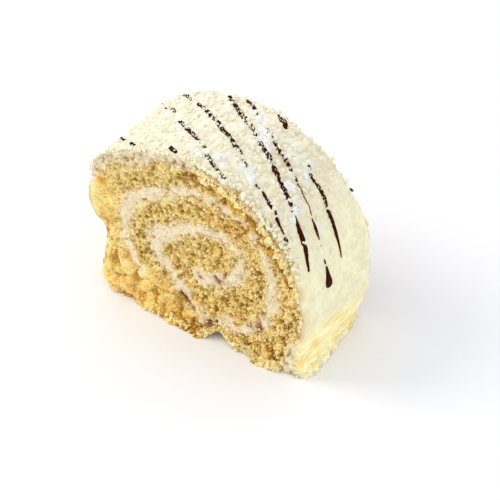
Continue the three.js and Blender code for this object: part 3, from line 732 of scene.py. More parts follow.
def coating_material(settings):
    """Ivory cream coating: chalky and creased on top, smooth on the side, yellow at the foot.

    Each finish runs between two colours, by the relief or by noise: clouds 4.5 mm wide
    blotch the top and the side. Where the relief sets it, the darker colour is painted shade
    in the creases and hollows. Rims are crumbly and beige, rubbed coconut is bluish white.
    """
    material, tree, shader = new_material("ivory cream coating", roughness=0.55,
                                          subsurface=0.3, subsurface_mm=0.9)
    place = add_node(tree, "ShaderNodeTexCoord").outputs["Object"]
    crest, rough, foot, rim, white = (
        add_node(tree, "ShaderNodeAttribute", attribute_name=key).outputs["Fac"]
        for key in ("crest", "rough", "foot", "rim", "white"))
    grain = add_node(tree, "ShaderNodeTexNoise", {
        "Vector": place, "Scale": per_metre(1.2), "Detail": 3.0, "Roughness": 0.65})
    cloud = add_node(tree, "ShaderNodeTexNoise", {
        "Vector": place, "Scale": per_metre(4.5), "Detail": 3.0, "Roughness": 0.6})
    level = add_node(tree, "ShaderNodeMath", {0: grain, 1: crest}, operation="ADD")
    height = add_node(tree, "ShaderNodeMapRange", {
        "Value": level, "From Min": 0.5, "From Max": 1.25})
    clouded = add_node(tree, "ShaderNodeMath", {0: grain, 1: 0.8, 2: cloud},
                       operation="MULTIPLY_ADD")
    blotch = add_node(tree, "ShaderNodeMapRange", {
        "Value": clouded, "From Min": 0.78, "From Max": 1.08})
    # In creased, yellow and crumbly the low colour is painted shade in the hollows.
    creased, smooth, yellow, crumbly, powdered = (
        add_node(tree, "ShaderNodeMix", {"Factor": share, "A": low, "B": high},
                 data_type="RGBA")
        for share, low, high in (
            (height, settings.crease_shade_colour, settings.top_colour),
            (blotch, settings.side_colour, linear("#dfddba")),
            (height, settings.foot_crease_shade_colour, settings.foot_and_bounce_colour),
            (height, settings.rim_pore_shade_colour, settings.rim_colour),
            (cloud, linear("#d0d4d3"), linear("#f2f3ef"))))
    chalky = add_node(tree, "ShaderNodeMix", {
        "Factor": blotch, "A": creased, "B": linear("#f3f3ee")}, data_type="RGBA",
        blend_type="MULTIPLY")
    # The foot's yellow is partly the coating's own and partly painted warm light thrown up from
    # below.
    shown = smooth
    for share, tint in ((rough, chalky), (foot, yellow), (rim, crumbly), (white, powdered)):
        shown = add_node(tree, "ShaderNodeMix", {"Factor": share, "A": shown, "B": tint},
                         data_type="RGBA")
    bump = add_node(tree, "ShaderNodeBump", {
        "Height": grain, "Strength": 0.3, "Distance": 0.3 * MM})
    set_inputs(tree, shader, {"Base Color": shown, "Normal": bump})
    return material


def chocolate_material(settings):
    """Dark chocolate, drizzled warm and set: near-black and matt, red-brown where it is thin."""
    material, tree, shader = new_material("dark chocolate", roughness=0.5, specular=0.03)
    place = add_node(tree, "ShaderNodeTexCoord").outputs["Object"]
    thin = add_node(tree, "ShaderNodeAttribute", attribute_name="thin").outputs["Fac"]
    bloom = add_node(tree, "ShaderNodeTexNoise", {
        "Vector": place, "Scale": per_metre(0.8), "Detail": 2.0})
    shown = settings.chocolate_colour
    for share, tint in ((bloom, "#4c1706"), (thin, "#74391a")):
        shown = add_node(tree, "ShaderNodeMix", {
            "Factor": share, "A": shown, "B": linear(tint)}, data_type="RGBA")
    set_inputs(tree, shader, {"Base Color": shown})
    return material


def flake_material(settings):
    """Desiccated coconut: cool white and slightly see-through, with a soft waxy surface."""
    material, tree, shader = new_material("coconut flake", roughness=0.6, subsurface=0.35,
                                          subsurface_mm=0.8)
    place = add_node(tree, "ShaderNodeTexCoord").outputs["Object"]
    fibre = add_node(tree, "ShaderNodeTexNoise", {
        "Vector": place, "Scale": per_metre(0.9), "Detail": 3.0})
    white = add_node(tree, "ShaderNodeMix", {
        "Factor": fibre, "A": linear("#dcdfdd"), "B": settings.flake_colour},
        data_type="RGBA")
    set_inputs(tree, shader, {"Base Color": white})
    return material


def crumb_material(name, low, high):
    """Loose crumbs: each has its own shade between two colours, with finer grain, matt."""
    material, tree, shader = new_material(name, roughness=0.9, subsurface=0.15,
                                          subsurface_mm=0.5, specular=0.2)
    place = add_node(tree, "ShaderNodeTexCoord").outputs["Object"]
    own = add_node(tree, "ShaderNodeAttribute", attribute_name="shade").outputs["Fac"]
    grain = add_node(tree, "ShaderNodeTexNoise", {
        "Vector": place, "Scale": per_metre(0.6), "Detail": 2.0})
    level = add_node(tree, "ShaderNodeMath", {0: grain, 1: 0.8, 2: own},
                     operation="MULTIPLY_ADD")
    height = add_node(tree, "ShaderNodeMapRange", {
        "Value": level, "From Min": 0.2, "From Max": 1.2})
    shade = add_node(tree, "ShaderNodeMix", {"Factor": height, "A": low, "B": high},
                     data_type="RGBA")
    set_inputs(tree, shader, {"Base Color": shade})
    return material


# ---- The torn cut ----


def marks_at(marks, x, z):
    """The strongest of round soft marks (x, z, radius, strength) at places of the drawing."""
    total = np.zeros(np.shape(x))
    for mark_x, mark_z, radius, strength in marks:
        away = np.hypot(x - mark_x, z - mark_z) / radius
        here = strength * np.exp(-away**2)
        total = np.where(np.abs(here) > np.abs(total), here, total)
    return total


def cut_zones(x, y, z):
    """Where the crumb changes, as shares from 0 to 1 at places of the drawing.

    Left is the smoother flank with the low left corner; coarse is the deeply torn right side,
    upper rim and base; inner is away from the front cut; top, low and middle say where they
    are. With them comes from_rim, the distance in mm from the sponge's outline.
    """
    inner = smoothstep(y - FRONT, 1, 6)
    wander = 9 * inner * lumps(x, y, z, 9)
    low_left = smoothstep(6 - 0.55 * x - z + wander, -3, 4) * smoothstep(-x, 3, 17)
    left = np.maximum(smoothstep(-x, 24, 34) * (1 - 0.7 * smoothstep(z, 37, 45)), low_left)
    from_rim = outline_gap(x, z)
    upper_rim = (1 - smoothstep(from_rim, 4, 9)) * smoothstep(x, -8, 4)
    base = smoothstep(-z, -20, -7) * smoothstep(x, -24, -4)
    return SimpleNamespace(
        inner=inner, low_left=low_left, left=left, from_rim=from_rim,
        coarse=np.maximum(np.maximum(0.5 * smoothstep(x, 10, 32), upper_rim), base),
        top=upper_rim * smoothstep(z, 40, 46), low=1 - smoothstep(z, 1, 24),
        middle=np.exp(-(x / 17) ** 2 - ((z - 25) / 14) ** 2))


def torn_crumb(x, y, z, zone, slow):
    """Relief of the torn crumb, about -1 to 1, and each medium ball's own number.

    It is balls of three sizes and clumps of them, less small pores and wider hollows, with
    weights that run from fine crumb to coarse, and what stands highest is worn flat. Towards
    the left it turns to smooth clods.
    """
    kink = 0.4 * lumps(x, y, z, 0.9)
    warp = 0.8 * lumps(x, y, z, 2.4)
    fine, _ = pebbles(x, y, z, *FINE)
    medium, own = pebbles(x - kink, y, z + kink, *MEDIUM)
    big, _ = pebbles(x + kink, y, z - kink, *BIG)
    clumps, _ = pebbles(x, y, z, *CLUMP)
    pore, _ = pebbles(x + kink, y, z + kink, *PORE)
    hollow, _ = pebbles(x + warp, y, z, *HOLLOW)
    clods, _ = pebbles(x + warp, y, z - warp, *CLOD)

    coarse, left = zone.coarse, zone.left
    grains = (mix(0.12, 0.95, coarse) * big + mix(0.34, 0.42, coarse) * medium
              + (0.42 + 0.15 * slow) * fine)
    pits = smoothstep(pore, 0.76, 0.96) * (1 - 0.3 * coarse) * (1 - 0.75 * left)
    crumb = 1.6 * (grains - mix(0.55, 1.11, coarse)) - 0.95 * pits
    crumb = crumb * (1 + 0.3 * zone.top) + (0.08 + coarse) * (clumps - 0.64)
    hollow = smoothstep(hollow, mix(0.9, 0.78, coarse), 0.97)
    crumb = crumb - (0.55 + 0.4 * coarse) * (1 - 0.4 * zone.middle) * hollow
    crumb = np.minimum(crumb, mix(0.1, 0.25, coarse) + 0.5 * crumb)
    clod = 1.9 * (np.maximum(clods, 0.05 + 0.25 * fine) - 0.62) + 0.4 * (medium - 0.6)
    clod = mix(0.5 + 0.4 * zone.inner, 1.6, zone.low_left) * (clod + 0.2 * (fine - 0.6))
    return mix(crumb, clod, left), own


def cream_cover(x, z, zone, edge, fray, haze_patch, width):
    """Share of the cut that cream covers, from 0 to 1.

    It falls from 1 to 0 across the strip's edge, which is moved by edge in mm; a thin patchy
    haze lies beside the strip, and a frayed smear along the coated outline.
    """
    from_strip = strip_gap(x, z, width)
    cream = 1 - smoothstep(from_strip + edge, -1.4, 1.5)
    haze = 0.32 * np.exp(-(np.maximum(from_strip, 0) / 2.6) ** 2) * haze_patch
    cream = np.maximum(cream, haze * (1 - zone.left) * (1 - zone.coarse))
    coated = np.clip(smoothstep(z + 0.35 * x, 22, 32) + smoothstep(x, 30, 36), 0, 1)
    broad = smoothstep(-x, 2, 16) * smoothstep(z, 42, 47) * (1 + 0.6 * smoothstep(-x, 22, 30))
    smear = coated * np.exp(-(zone.from_rim / mix(1.2, 3.2, broad)) ** 2)
    return np.maximum(cream, smear * smoothstep(fray, -0.7, 0.5))


def torn_cut(x, y, z, width):
    """The torn cut at places of the drawing: its relief, about -1 to 1, and what shows there.

    Cream lies over the crumb in low soft lumps. Marks are made on the front cut alone.
    """
    cover, calm, orange, stain, hole = (
        np.where(y < 0, marks_at(marks, x, z), 0)
        for marks in (COVER, CALM_PATCHES, ORANGE_MARKS, FRUIT_STAINS, HOLES))
    zone = cut_zones(x, y, z)
    slow = lumps(x, y, z, 5.5)
    fray = 1.5 * lumps(x, y, z, 2.6) + 1.3 * lumps(x, y, z, 1.1)
    crumb, own = torn_crumb(x, y, z, zone, slow)
    crumb = crumb * (1 - calm) - 1.4 * hole
    edge = fray + 0.6 * slow + cover + 0.5 * crumb
    cream = cream_cover(x, z, zone, edge, fray, smoothstep(slow, -0.5, 0.5), width)
    cream = cream * (1 - hole)
    soft = 0.35 * lumps(x, y, z, 2.2) + 0.25 * lumps(x, y, z, 1.0) + 0.12 * crumb

    patch = 0.06 * lumps(x, y, z, 7) + 0.1 * (zone.coarse + zone.low_left) * lumps(x, y, z, 3.6)
    # Painted light: the crumb is made lighter along the far left rim, where light from the left
    # falls.
    painted_light_left_rim = zone.left * smoothstep(-x, 28, 34) * np.exp(-zone.from_rim**2 / 4)
    # The tone follows the relief: painted shade where the crumb is low, lighter on its crests; the
    # balls' own numbers and the patches vary it at random.
    shade = (0.62 + 0.5 * crumb + 0.4 * (own - 0.75) + patch + 0.13 * zone.middle
             - 0.08 * zone.low - 0.12 * zone.top - 0.06 * zone.left + 0.3 * painted_light_left_rim)
    warm = np.maximum(zone.low,
                      smoothstep(x, -6, 16) * mix(0.55, 1.1, smoothstep(z, 36, 44)))
    shown = {
        "crest": np.clip(mix(shade, 0.6 + 0.35 * soft, 0.6 * cream), 0, 1.2),
        "skin": zone.left,
        "cream": cream,
        "orange": orange,
        "stain": np.minimum(1.4 * stain, 0.95) * smoothstep(fray, -1.8, 0.3),
        "warm": warm * (1 - 0.3 * zone.middle) * (1 - 0.35 * zone.left) * (1 - calm),
    }
    return mix(crumb, soft, 0.8 * cream), shown


def sponge_points(drawing, share, sponge, cream):
    """Places of sponge points at a share of the depth, and what shows at each.

    The relief moves a point outwards: along Y on the cuts, square to the outline on the bare
    flank, and along both near the edge between them.
    """
    x, z = drawing.T
    y = in_depth(x, z, share)
    relief, shown = torn_cut(x, y, z, cream.width / MM)
    slope = gradient(outline_gap, x, z, 0.2)
    slope = slope / np.maximum(np.linalg.norm(slope, axis=0), 1e-6)
    bare = (smoothstep(-x, 20, 27) * between(z, (0, 2.5), (36, 39))
            * np.exp(-(outline_gap(x, z) / 1.3) ** 2))
    on_cut = np.where((share == 0) | (share == 1), 1.0, 0.0)
    height = sponge.relief / MM * relief
    outwards = bare * (height + FACE_LUMPS * lumps(x, y, z, LUMP_SIZE))
    face = on_cut * (height * (1 - 0.4 * bare) - FLANK_DIP * bare)
    y = y + np.where(share < 0.5, -face, face)
    shown["cream"] = shown["cream"] * on_cut
    placed = bend(x - slope[0] * outwards, y, np.maximum(z - slope[1] * outwards, 0))
    return placed, shown


def sponge_wall(rim, columns):
    """Triangles of the wall round a raised drawing.

    rim lists its edges, and columns the ids from front to back over each of its points. A
    point without points of its own in between repeats its front id, and the triangles that
    this makes into lines are left out.
    """
    a, b = columns[rim[:, 0]], columns[rim[:, 1]]
    triangles = np.concatenate([np.stack([a[:, :-1], a[:, 1:], b[:, 1:]], -1),
                                np.stack([a[:, :-1], b[:, 1:], b[:, :-1]], -1)]).reshape(-1, 3)
    one, two, three = triangles.T
    return triangles[(one != two) & (two != three) & (three != one)]


def make_sponge(settings, cream):
    """The rolled sponge: both torn cuts, the bare flank, and the slot of the filling.

    The drawing's grid is raised into a solid, with points of its own through the depth where
    the flank is bare.
    """
    def gap(x, z):
        return np.minimum(outline_gap(x, z), strip_gap(x, z, cream.width / MM - 2 * STRIP_TUCK))

    cell = settings.cell / MM
    drawing, triangles, edge = fill_drawing(gap, cell, DRAWING_LOW, DRAWING_HIGH)
    count = len(drawing)
    x, z = drawing.T
    on_flank = edge & (outline_gap(x, z) < cell / 4) & (x < BARE_RIGHT) & (z < BARE_TOP)
    flank = np.flatnonzero(on_flank)
    share = np.linspace(0, 1, int(SLICE_DEPTH / (FLANK_STEP * cell)) + 1)
    inner = np.repeat(flank, len(share) - 2)
    where = np.concatenate([drawing, drawing, drawing[inner]])
    shares = np.concatenate([np.zeros(count), np.ones(count), np.tile(share[1:-1], len(flank))])
    placed, shown = sponge_points(where, shares, settings, cream)
    columns = np.repeat(np.arange(count)[:, None], len(share), 1)
    columns[:, -1] += count
    columns[flank, 1:-1] = 2 * count + np.arange(len(inner)).reshape(len(flank), -1)
    wall = sponge_wall(rim_edges(triangles), columns)
    faces = np.concatenate([triangles, triangles[:, ::-1] + count, wall])
    flank_points = np.concatenate([on_flank, on_flank, np.ones(len(inner), bool)])
    smooth = (np.arange(len(faces)) < 2 * len(triangles)) | flank_points[faces].all(1)
    # Baked egg sponge, torn open: straw crumb with painted ochre shade in the pores and pale
    # crests, fully matt.
    material = torn_material("baked egg sponge", settings, cream, roughness=0.9,
                             subsurface=0.12)
    piece = make_piece("sponge_crumb", placed, faces, material, shown, smooth)
    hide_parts("sponge")
    return piece


def make_cream(settings, sponge):
    """The filling: one strip wound along the spiral and run through the slice.

    A loop round the strip's section (across the strip in front, back through the depth, and
    across behind) is carried along the spiral, in steps one cell long.
    """
    cell = settings.cell / MM
    angles = [float(SPIRAL_START)]
    while angles[-1] < SPIRAL_END:
        here = np.array(angles[-1])
        step = cell / (spiral_radius(here) * strip_slant(here))
        angles.append(angles[-1] + math.degrees(step))
    angle = np.array(angles[:-1] + [float(SPIRAL_END)])[:, None]
    across = np.linspace(-1, 1, STRIP_CELLS + 1)
    side = np.concatenate([across, across[::-1]])[None]
    share = np.repeat([1.0, 0.0], STRIP_CELLS + 1)[None]
    width = settings.width / MM
    half = cream_width(angle, width + 2 * STRIP_TUCK) / 2
    radius = spiral_radius(angle) + side * half * strip_slant(angle)
    x = CENTRE[0] + radius * np.cos(np.radians(angle))
    z = CENTRE[1] + radius * np.sin(np.radians(angle))
    y = in_depth(x, z, share)
    relief, shown = torn_cut(x, y, z, width)
    height = sponge.relief / MM * relief - STRIP_DIP * np.abs(side) ** 8
    points, faces = closed_tube(bend(x, y + np.where(share < 0.5, -height, height), z))
    column = np.arange(len(faces)) % (STRIP_CELLS + 1)
    # Whipped cream filling, cut and smeared: beige, satin, with crumbs dragged into it.
    material = torn_material("whipped cream filling", sponge, settings, roughness=0.65,
                             subsurface=0.25)
    piece = make_piece("cream_swirl", points, faces, material, with_poles(shown),
                       column != STRIP_CELLS)
    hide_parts("cream_filling")
    return piece


# ---- Coating ----
#
# Where noise is read at distance and Y, the third value only picks a plane through it.


def coat_swell(distance, y, x, z):
    """How far the coating's skin stands off its line: lumps, a worn back rim, a spread foot."""
    drop = RIM_DROP * look_up(COAT_THICKNESS, distance)
    rim = drop * (1 - smoothstep(back_plane(x) - y, 0, RIM_WIDTH)) * smoothstep(z, 0, 9)
    flat = between(distance, *FLAT_SIDE)
    crags = COAT_LUMPS * (1 - 0.75 * flat) * lumps(distance, y, 0, LUMP_SIZE)
    foot = look_up(FOOT_SPREAD, y) * (1 - np.clip(z / FOOT_HEIGHT, 0, 1)) ** 2
    return crags - rim + np.where(distance > COAT_LENGTH / 2, foot, 0)


def coat_zones(distance, y):
    """Shares of the rough top, the creased foot and the crumbly rims on the coating."""
    wander = 6 * lumps(distance, y, 3, 11)
    rough = 1 - smoothstep(distance + wander, *TOP_TO_SIDE)
    foot = smoothstep(distance + 0.5 * wander, *SIDE_TO_FOOT)
    from_front = y - FRONT + 1.2 * lumps(distance, y, 6, 2.5)
    rim = (1 - smoothstep(from_front, 0.2, 3.2)) * (1 - between(distance, *CLEAN_RIM))
    return rough, foot, rim * (1 - foot)


def coat_relief(distance, y):
    """Fine relief of the coating, about -1 to 1, and its tone from hollow to crest: painted shade.

    The top has soft creases where a smooth noise passes through nought, the side shallow
    dents, and the rim crumbs. The foot is feathered: noise drawn out four times as long along
    the base, with strokes here and there that rise slowly downwards and end in a torn step.
    """
    rough, foot, rim = coat_zones(distance, y)
    creases = np.minimum(smoothstep(np.abs(lumps(distance, y, 0, 2.6)), 0, 0.45),
                         0.35 + smoothstep(np.abs(lumps(distance, y, 4, 1.5)), 0, 0.5))
    clumps, _ = pebbles(distance, y, 0, *COAT_CLUMP)
    grains, _ = pebbles(distance, y, 0, *COAT_GRAIN)
    top = 0.8 * creases + 0.5 * clumps + 0.25 * lumps(distance, y, 7, 1.2) - 0.9
    dents = 0.3 * lumps(distance, y, 5, 3.4) + 0.1 * (creases - 0.7)
    crumbly = 1.9 * (0.5 * clumps + 0.5 * grains - 0.62)
    feather = (0.5 * lumps(distance, 0.25 * y, 8, 1.3)
               + 0.35 * lumps(distance + 0.2 * y, 0.3 * y, 9, 0.7))
    stroke = distance + 0.25 * y + 2.6 * lumps(0.5 * distance, 0.35 * y, 8, 2.6)
    step = stroke / 2.1 % 1
    drawn = smoothstep(lumps(distance, 0.4 * y, 10, 3.2), -0.3, 0.3)
    shingle = (1.1 * drawn * (step * smoothstep(1 - step, 0, 0.2) - 0.4) + 1.3 * feather
               + 0.35 * crumbly)
    height = mix(mix(dents, top, rough), crumbly, rim)
    tone = mix(mix(0.7, 0.75 + 0.5 * top, rough), 0.5 + 0.5 * crumbly, rim)
    return mix(height, shingle, foot), mix(tone, 0.4 + 0.75 * shingle, foot)


def on_coat(distance, y, lift, relief):
    """Points on the coating's skin, raised off it by a lift in mm."""
    x, z, out_x, out_z = coat_line(distance)
    swell = coat_swell(distance, y, x, z) + relief * coat_relief(distance, y)[0] + lift
    return bend(x + out_x * swell, y, z + out_z * swell * smoothstep(z, 0, 4))


def coat_section(cell):
    """Grid over the coating: distance along its line, share of the depth, depth under the skin.

    Each row is a loop: over the skin from front to back, down the back rim, under the coating,
    and up the front rim. The first and last rows are drawn in under it, to close the solid
    inside the sponge. The last value is the column of the back rim.
    """
    stations = int(COAT_LENGTH / cell)
    skin_cells = int(SLICE_DEPTH / cell)
    row = np.arange(stations + 1)[:, None]
    distance = COAT_LENGTH * np.minimum(row / (stations - 1), 1)
    skin = np.linspace(0, 1, skin_cells + 1)
    down = np.linspace(0, 1, RIM_CELLS + 2)[1:-1]
    share = np.concatenate([skin, np.ones(RIM_CELLS), [1, 0.5, 0], np.zeros(RIM_CELLS)])
    depth = np.concatenate([0 * skin, down, [1, 1, 1], down[::-1]])
    closed = (row == 0) | (row == stations)
    share = np.where(closed, mix(share, 0.5, COAT_CLOSING), share)
    return distance, share, np.where(closed, 1.0, depth), skin_cells


def torn_fringe(distance, y, line_z):
    """Teeth of the skin's lowest edge, in mm: balls of two sizes that fade out upwards."""
    small, _ = pebbles(y, distance, 0, *TOOTH)
    big, _ = pebbles(y, distance, 0, *BIG_TOOTH)
    low = np.exp(-line_z / 2) * (distance > COAT_LENGTH / 2)
    return 2.0 * (small + 0.7 * big - 0.9) * low


def lip_hang(distance, share):
    """How far the lip hangs down in mm: unevenly, and not at its front corner."""
    run = SLICE_DEPTH * share
    hang = 2.4 * smoothstep(lumps(0, run, 4, 4.5), -0.6, 0.8) + 0.6 * lumps(0, run, 6, 1.3)
    return hang * smoothstep(run, 0, 5) * (1 - smoothstep(distance, 0, 5))


def coat_shown(distance, y, depth, on_rim, rounded, cut, tone):
    """What shows on the coating: painted shade from hollow to crest, and shares of its finishes.

    Past the crown the skin is painted darker, as shade, most of all where it turns towards the
    front rim.
    """
    rough, foot, rim = coat_zones(distance, y)
    far = smoothstep(distance, 45, 65)
    turned = np.exp(-(y - FRONT) / 3)
    # Painted shade past the crown, away from the light, and near the front where the skin turns to
    # the rim or the foot.
    dim = 0.16 * far * (1 - foot) + 0.2 * turned * (far * rim + foot)
    beige = np.exp(-(y - FRONT) / 1.6) * smoothstep(lumps(distance, y, 12, 4), -0.8, 0.6)
    white = marks_at(WHITE_MARKS, distance, y) * (0.8 + 0.5 * lumps(distance, y, 9, 1.6))
    crumbly = on_rim * (1 - rounded)
    return {
        # On the rims the tone follows their torn grain, so their hollows get painted shade.
        "crest": np.where(on_rim, 0.25 + 0.8 * (cut - 0.4) - 0.15 * foot, tone - dim),
        "rough": np.maximum(rough, crumbly),
        "foot": foot * (1 - 0.6 * on_rim),
        "rim": np.maximum(np.maximum(mix(0.5, 0.95, far) * rim,
                                     0.9 * rounded * (1 - foot) * beige),
                          crumbly * (1 - 0.7 * foot) * (0.4 + 0.6 * depth)),
        "white": np.clip(white, 0, 1) * ~on_rim,
    }


def make_coating(settings):
    """The cream coating: a band's section carried along its outer line from lip to base.

    The skin falls to its rims in quarter ellipses, wide where the side was smoothed round the
    corner, and the rims are torn like crumb. The lowest edge has teeth, and the lip hangs.
    """
    distance, share, depth, back_rim = coat_section(settings.cell / MM)
    line_x, line_z, out_x, out_z = coat_line(distance)
    thickness = look_up(COAT_THICKNESS, distance)
    rounded = between(distance, *ROUND_RIM)
    reach = settings.rim_radius / MM * (1 + 0.4 * lumps(distance, share > 0.5, 5, 3))
    reach = reach + COAT_CORNER * rounded
    deepest = np.minimum(reach, COAT_DEEPEST * thickness)
    tucked = thickness + COAT_TUCK + COAT_TUCK_LUMPS * lumps(distance, share, 2, 1.7)
    under = deepest + (tucked - deepest) * depth
    x, z = under_coat(distance, np.where(depth > 0, under, 0))
    y = in_depth(x, z, share)
    inwards = np.minimum(y - y[:, :1], y[:, back_rim:back_rim + 1] - y)
    corner = np.clip(1 - inwards / reach, 0, 1)
    drop = deepest * (1 - np.sqrt(1 - corner**2)) * (depth == 0)

    height, tone = coat_relief(distance, y)
    swell = (coat_swell(distance, y, line_x, line_z) + settings.relief / MM * height
             + torn_fringe(distance, y, line_z))
    swell = ((1 - depth) * swell - drop) * smoothstep(distance, 0, 2)
    hang = lip_hang(distance, share) * (1 - depth)
    x = x + out_x * (swell + 0.25 * hang)
    z = z + out_z * swell * smoothstep(line_z, 0, 4) - hang
    z = np.maximum(z, COAT_ABOVE_FLOOR * smoothstep(COAT_LENGTH - distance, 0, 2))
    cut, _ = pebbles(x, y, z, *RIM_GRAIN)
    torn = 0.55 * (1.4 * (cut - 0.6) + 0.6 * lumps(x, y, z, 2.4)) * (1 - 0.8 * rounded)
    torn = torn * (1 + 1.2 * smoothstep(distance, 124, 132)) - 0.5 * depth**2
    on_rim = (depth > 0) & (depth < 1)
    y = y + on_rim * np.where(share < 0.5, -torn, torn)

    points, faces = closed_tube(bend(x, y, z))
    shown = coat_shown(distance, y, depth, on_rim, rounded, cut, tone)
    piece = make_piece("cream_coating", points, faces, coating_material(settings),
                       with_poles(shown))
    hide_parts("coating")
    return piece


# ---- Toppings ----


def lay_pools(name, pools, lay, relief, material):
    """Lays flat lumps on the coating and joins them into one piece.

    Each pool has its own u and v in mm: gap(u, v) is positive inside its outline, low and
    high bound it, place(u, v) gives distance and y on the coating, height(u, v) is how high
    it stands, and shown holds functions for its attributes. Its top is a quarter circle over
    the width of the rounded edge.
    """
    parts = []
    for pool in pools:
        flat, triangles, _ = fill_drawing(pool.gap, lay.cell, pool.low, pool.high)
        u, v = flat.T
        rise = np.clip(pool.gap(u, v) / lay.rounding, 0, 1)
        dome = pool.height(u, v) * np.sqrt(1 - (1 - rise) ** 2) - lay.sunk
        place = pool.place(u, v)
        top, bottom = (on_coat(*place, lift, relief * lay.follow)
                       for lift in (dome, -LAY_DEPTH))
        shown = {key: np.tile(value(u, v), 2) for key, value in pool.shown.items()}
        parts.append((*thick_sheet(top, bottom, triangles), shown))
    points, faces, shown = zip(*parts)
    starts = np.cumsum([0] + [len(solid) for solid in points])
    faces = np.concatenate([part + start for part, start in zip(faces, starts)])
    shown = {key: np.concatenate([part[key] for part in shown]) for key in shown[0]}
    return make_piece(name, np.concatenate(points), faces, material, shown)


def drizzle_run(number, run, height):
    """One run of drizzle as a pool, in millimetres along and across its middle line.

    It fills the places nearer to the middle line than half the width. Crumbs break it into
    threads: only the places stay where a quick noise is near nought or a slower one is high,
    and fewer of them the more the run is torn.
    """
    line, widths, torn = np.array(run[:3], float), run[3], run[4]
    length = np.hypot(*np.diff(line, axis=0).T).sum()

    def width_at(along):
        return catmull(widths, 2 * np.clip(along / length, 0, 1))

    def place(along, across):
        part = along / length * 2
        before, after = (catmull(line, np.clip(part + step, 0, 2)) for step in (-0.01, 0.01))
        ahead = after - before
        ahead /= np.linalg.norm(ahead, axis=-1, keepdims=True)
        centre = catmull(line, part)
        return centre[:, 0] - ahead[:, 1] * across, centre[:, 1] + ahead[:, 0] * across

    def gap(along, across):
        half = width_at(along) / 2 * (1 + (0.1 + 0.3 * torn) * lumps(along, number, 5, 0.8))
        past = np.maximum(-along, along - length) + half
        wander = (0.05 + 0.15 * torn) * lumps(along, number, 0, 2.5)
        edge = half - np.hypot(across - wander, np.maximum(past, 0))
        thread = np.abs(lumps(along + 0.8 * across, 1.2 * across + 9 * number, 3, 0.62))
        kept = 0.2 + (1 - torn) ** 2 + 0.22 * lumps(along, 7 * number, 1, 1.8)
        return np.minimum(edge, mix(1.0, kept - 0.8 * thread, torn > 0))

    def thin(along, across):
        return (1 - smoothstep(width_at(along), 0.35, 1.0)) * (torn == 0)

    return SimpleNamespace(
        gap=gap, place=place, low=(0.0, -DRIZZLE_REACH), high=(length, DRIZZLE_REACH),
        height=lambda along, across: height, shown={"thin": thin})


def make_drizzle(settings):
    """Chocolate drizzle: a patchy low ridge along each run."""
    height = settings.drizzle_height / MM + DRIZZLE_LAY.sunk
    pools = [drizzle_run(number, run, height) for number, run in enumerate(DRIZZLE)]
    return lay_pools("chocolate_drizzle", pools, DRIZZLE_LAY, settings.relief / MM,
                     chocolate_material(settings))


def flake_clump(number, spot, height):
    """One clump of coconut as a pool: an ellipse with a lobed outline and a lumpy top."""
    distance, y, length, width, angle = spot
    cosine, sine = math.cos(math.radians(angle)), math.sin(math.radians(angle))

    def gap(u, v):
        lobes = 0.6 * lumps(u, v, 7 * number, 1.3) + 0.3 * lumps(u, v, 7 * number, 0.7)
        return width / 2 * (1 - np.hypot(2 * u / length, 2 * v / width)) + lobes - 0.1

    def rise(u, v):
        shreds, _ = pebbles(u, 1.6 * v, 3 * number, *SHRED)
        return height * (0.35 + 0.75 * shreds)

    def place(u, v):
        return distance + u * cosine - v * sine, y + u * sine + v * cosine

    reach = length / 2 + 0.8
    return SimpleNamespace(gap=gap, place=place, low=(-reach, -reach), high=(reach, reach),
                           height=rise, shown={})


def make_flakes(settings):
    """Coconut: soft white clumps of shreds lying on the coating."""
    height = settings.flake_height / MM
    pools = [flake_clump(number, spot, height) for number, spot in enumerate(FLAKES)]
    return lay_pools("coconut_flakes", pools, FLAKE_LAY, settings.relief / MM,
                     flake_material(settings))


# ---- Loose crumbs ----


def make_sponge_crumbs(settings, cream):
    """Crumbs that cling to the cuts, every fifth along the lower edge, and a tenth on the rim.

    Of the places tried, those in the strip or in the calm left and middle are mostly dropped.
    """
    random = np.random.default_rng(SPONGE_CRUMBS.seed)
    wanted = settings.crumb_count
    tried = 8 * wanted
    x = random.uniform(-41, 41, tried)
    z = random.uniform(0.4, 61, tried)
    edge = np.arange(tried) % 5 == 0
    z = np.where(edge, z * 0.05 + 0.3, z)
    coarse = np.maximum(smoothstep(x, 8, 30), smoothstep(-z, -16, -5) * smoothstep(x, -20, 0))
    chance = (0.2 + 0.8 * coarse) * (1 - 0.85 * smoothstep(-x - 0.5 * z, -12, 0))
    off_strip = strip_gap(x, z, cream.width / MM - 0.2) > -1.3 * random.random(tried)
    inside = (outline_gap(x, z) > 0.3) & off_strip
    kept = np.flatnonzero(inside & (random.random(tried) < chance))[:wanted]
    on_rim = np.arange(len(kept)) % 10 == 0
    rim_x, rim_z = under_coat(random.uniform(48, 104, wanted), random.uniform(1.6, 4.6, wanted))
    x, z = np.where(on_rim, rim_x, x[kept]), np.where(on_rim, rim_z, z[kept])
    edge = edge[kept]
    share = np.where(random.random(wanted) < 0.65, 0.0, 1.0)
    placed, shown = sponge_points(np.stack([x, z], 1), share, settings, cream)
    sizes = mix(SPONGE_CRUMBS.smallest, SPONGE_CRUMBS.largest, random.random(wanted) ** 3)
    sizes = sizes * np.where(edge, 1.4, 1.0)
    sizes = np.where(on_rim, sizes + random.uniform(0.2, 0.9, wanted), sizes)
    out = np.where(share < 0.5, -1.0, 1.0)
    placed[:, 1] += out * sizes * random.uniform(-0.1, 0.25, wanted)
    points, faces = scatter_crumbs(random, placed, sizes)
    # Each crumb takes the tone of the cut at its place, painted shade and light included, and a
    # random share.
    shade = np.clip(0.1 + 0.5 * shown["crest"] + 0.2 * shown["skin"]
                    + random.uniform(-0.15, 0.3, wanted), 0, 1)
    material = crumb_material("loose sponge crumb", settings.crumb_colour,
                              settings.crest_colour)
    return make_piece("sponge_crumbs", points, faces, material,
                      {"shade": np.repeat(shade, len(points) // len(shade))})


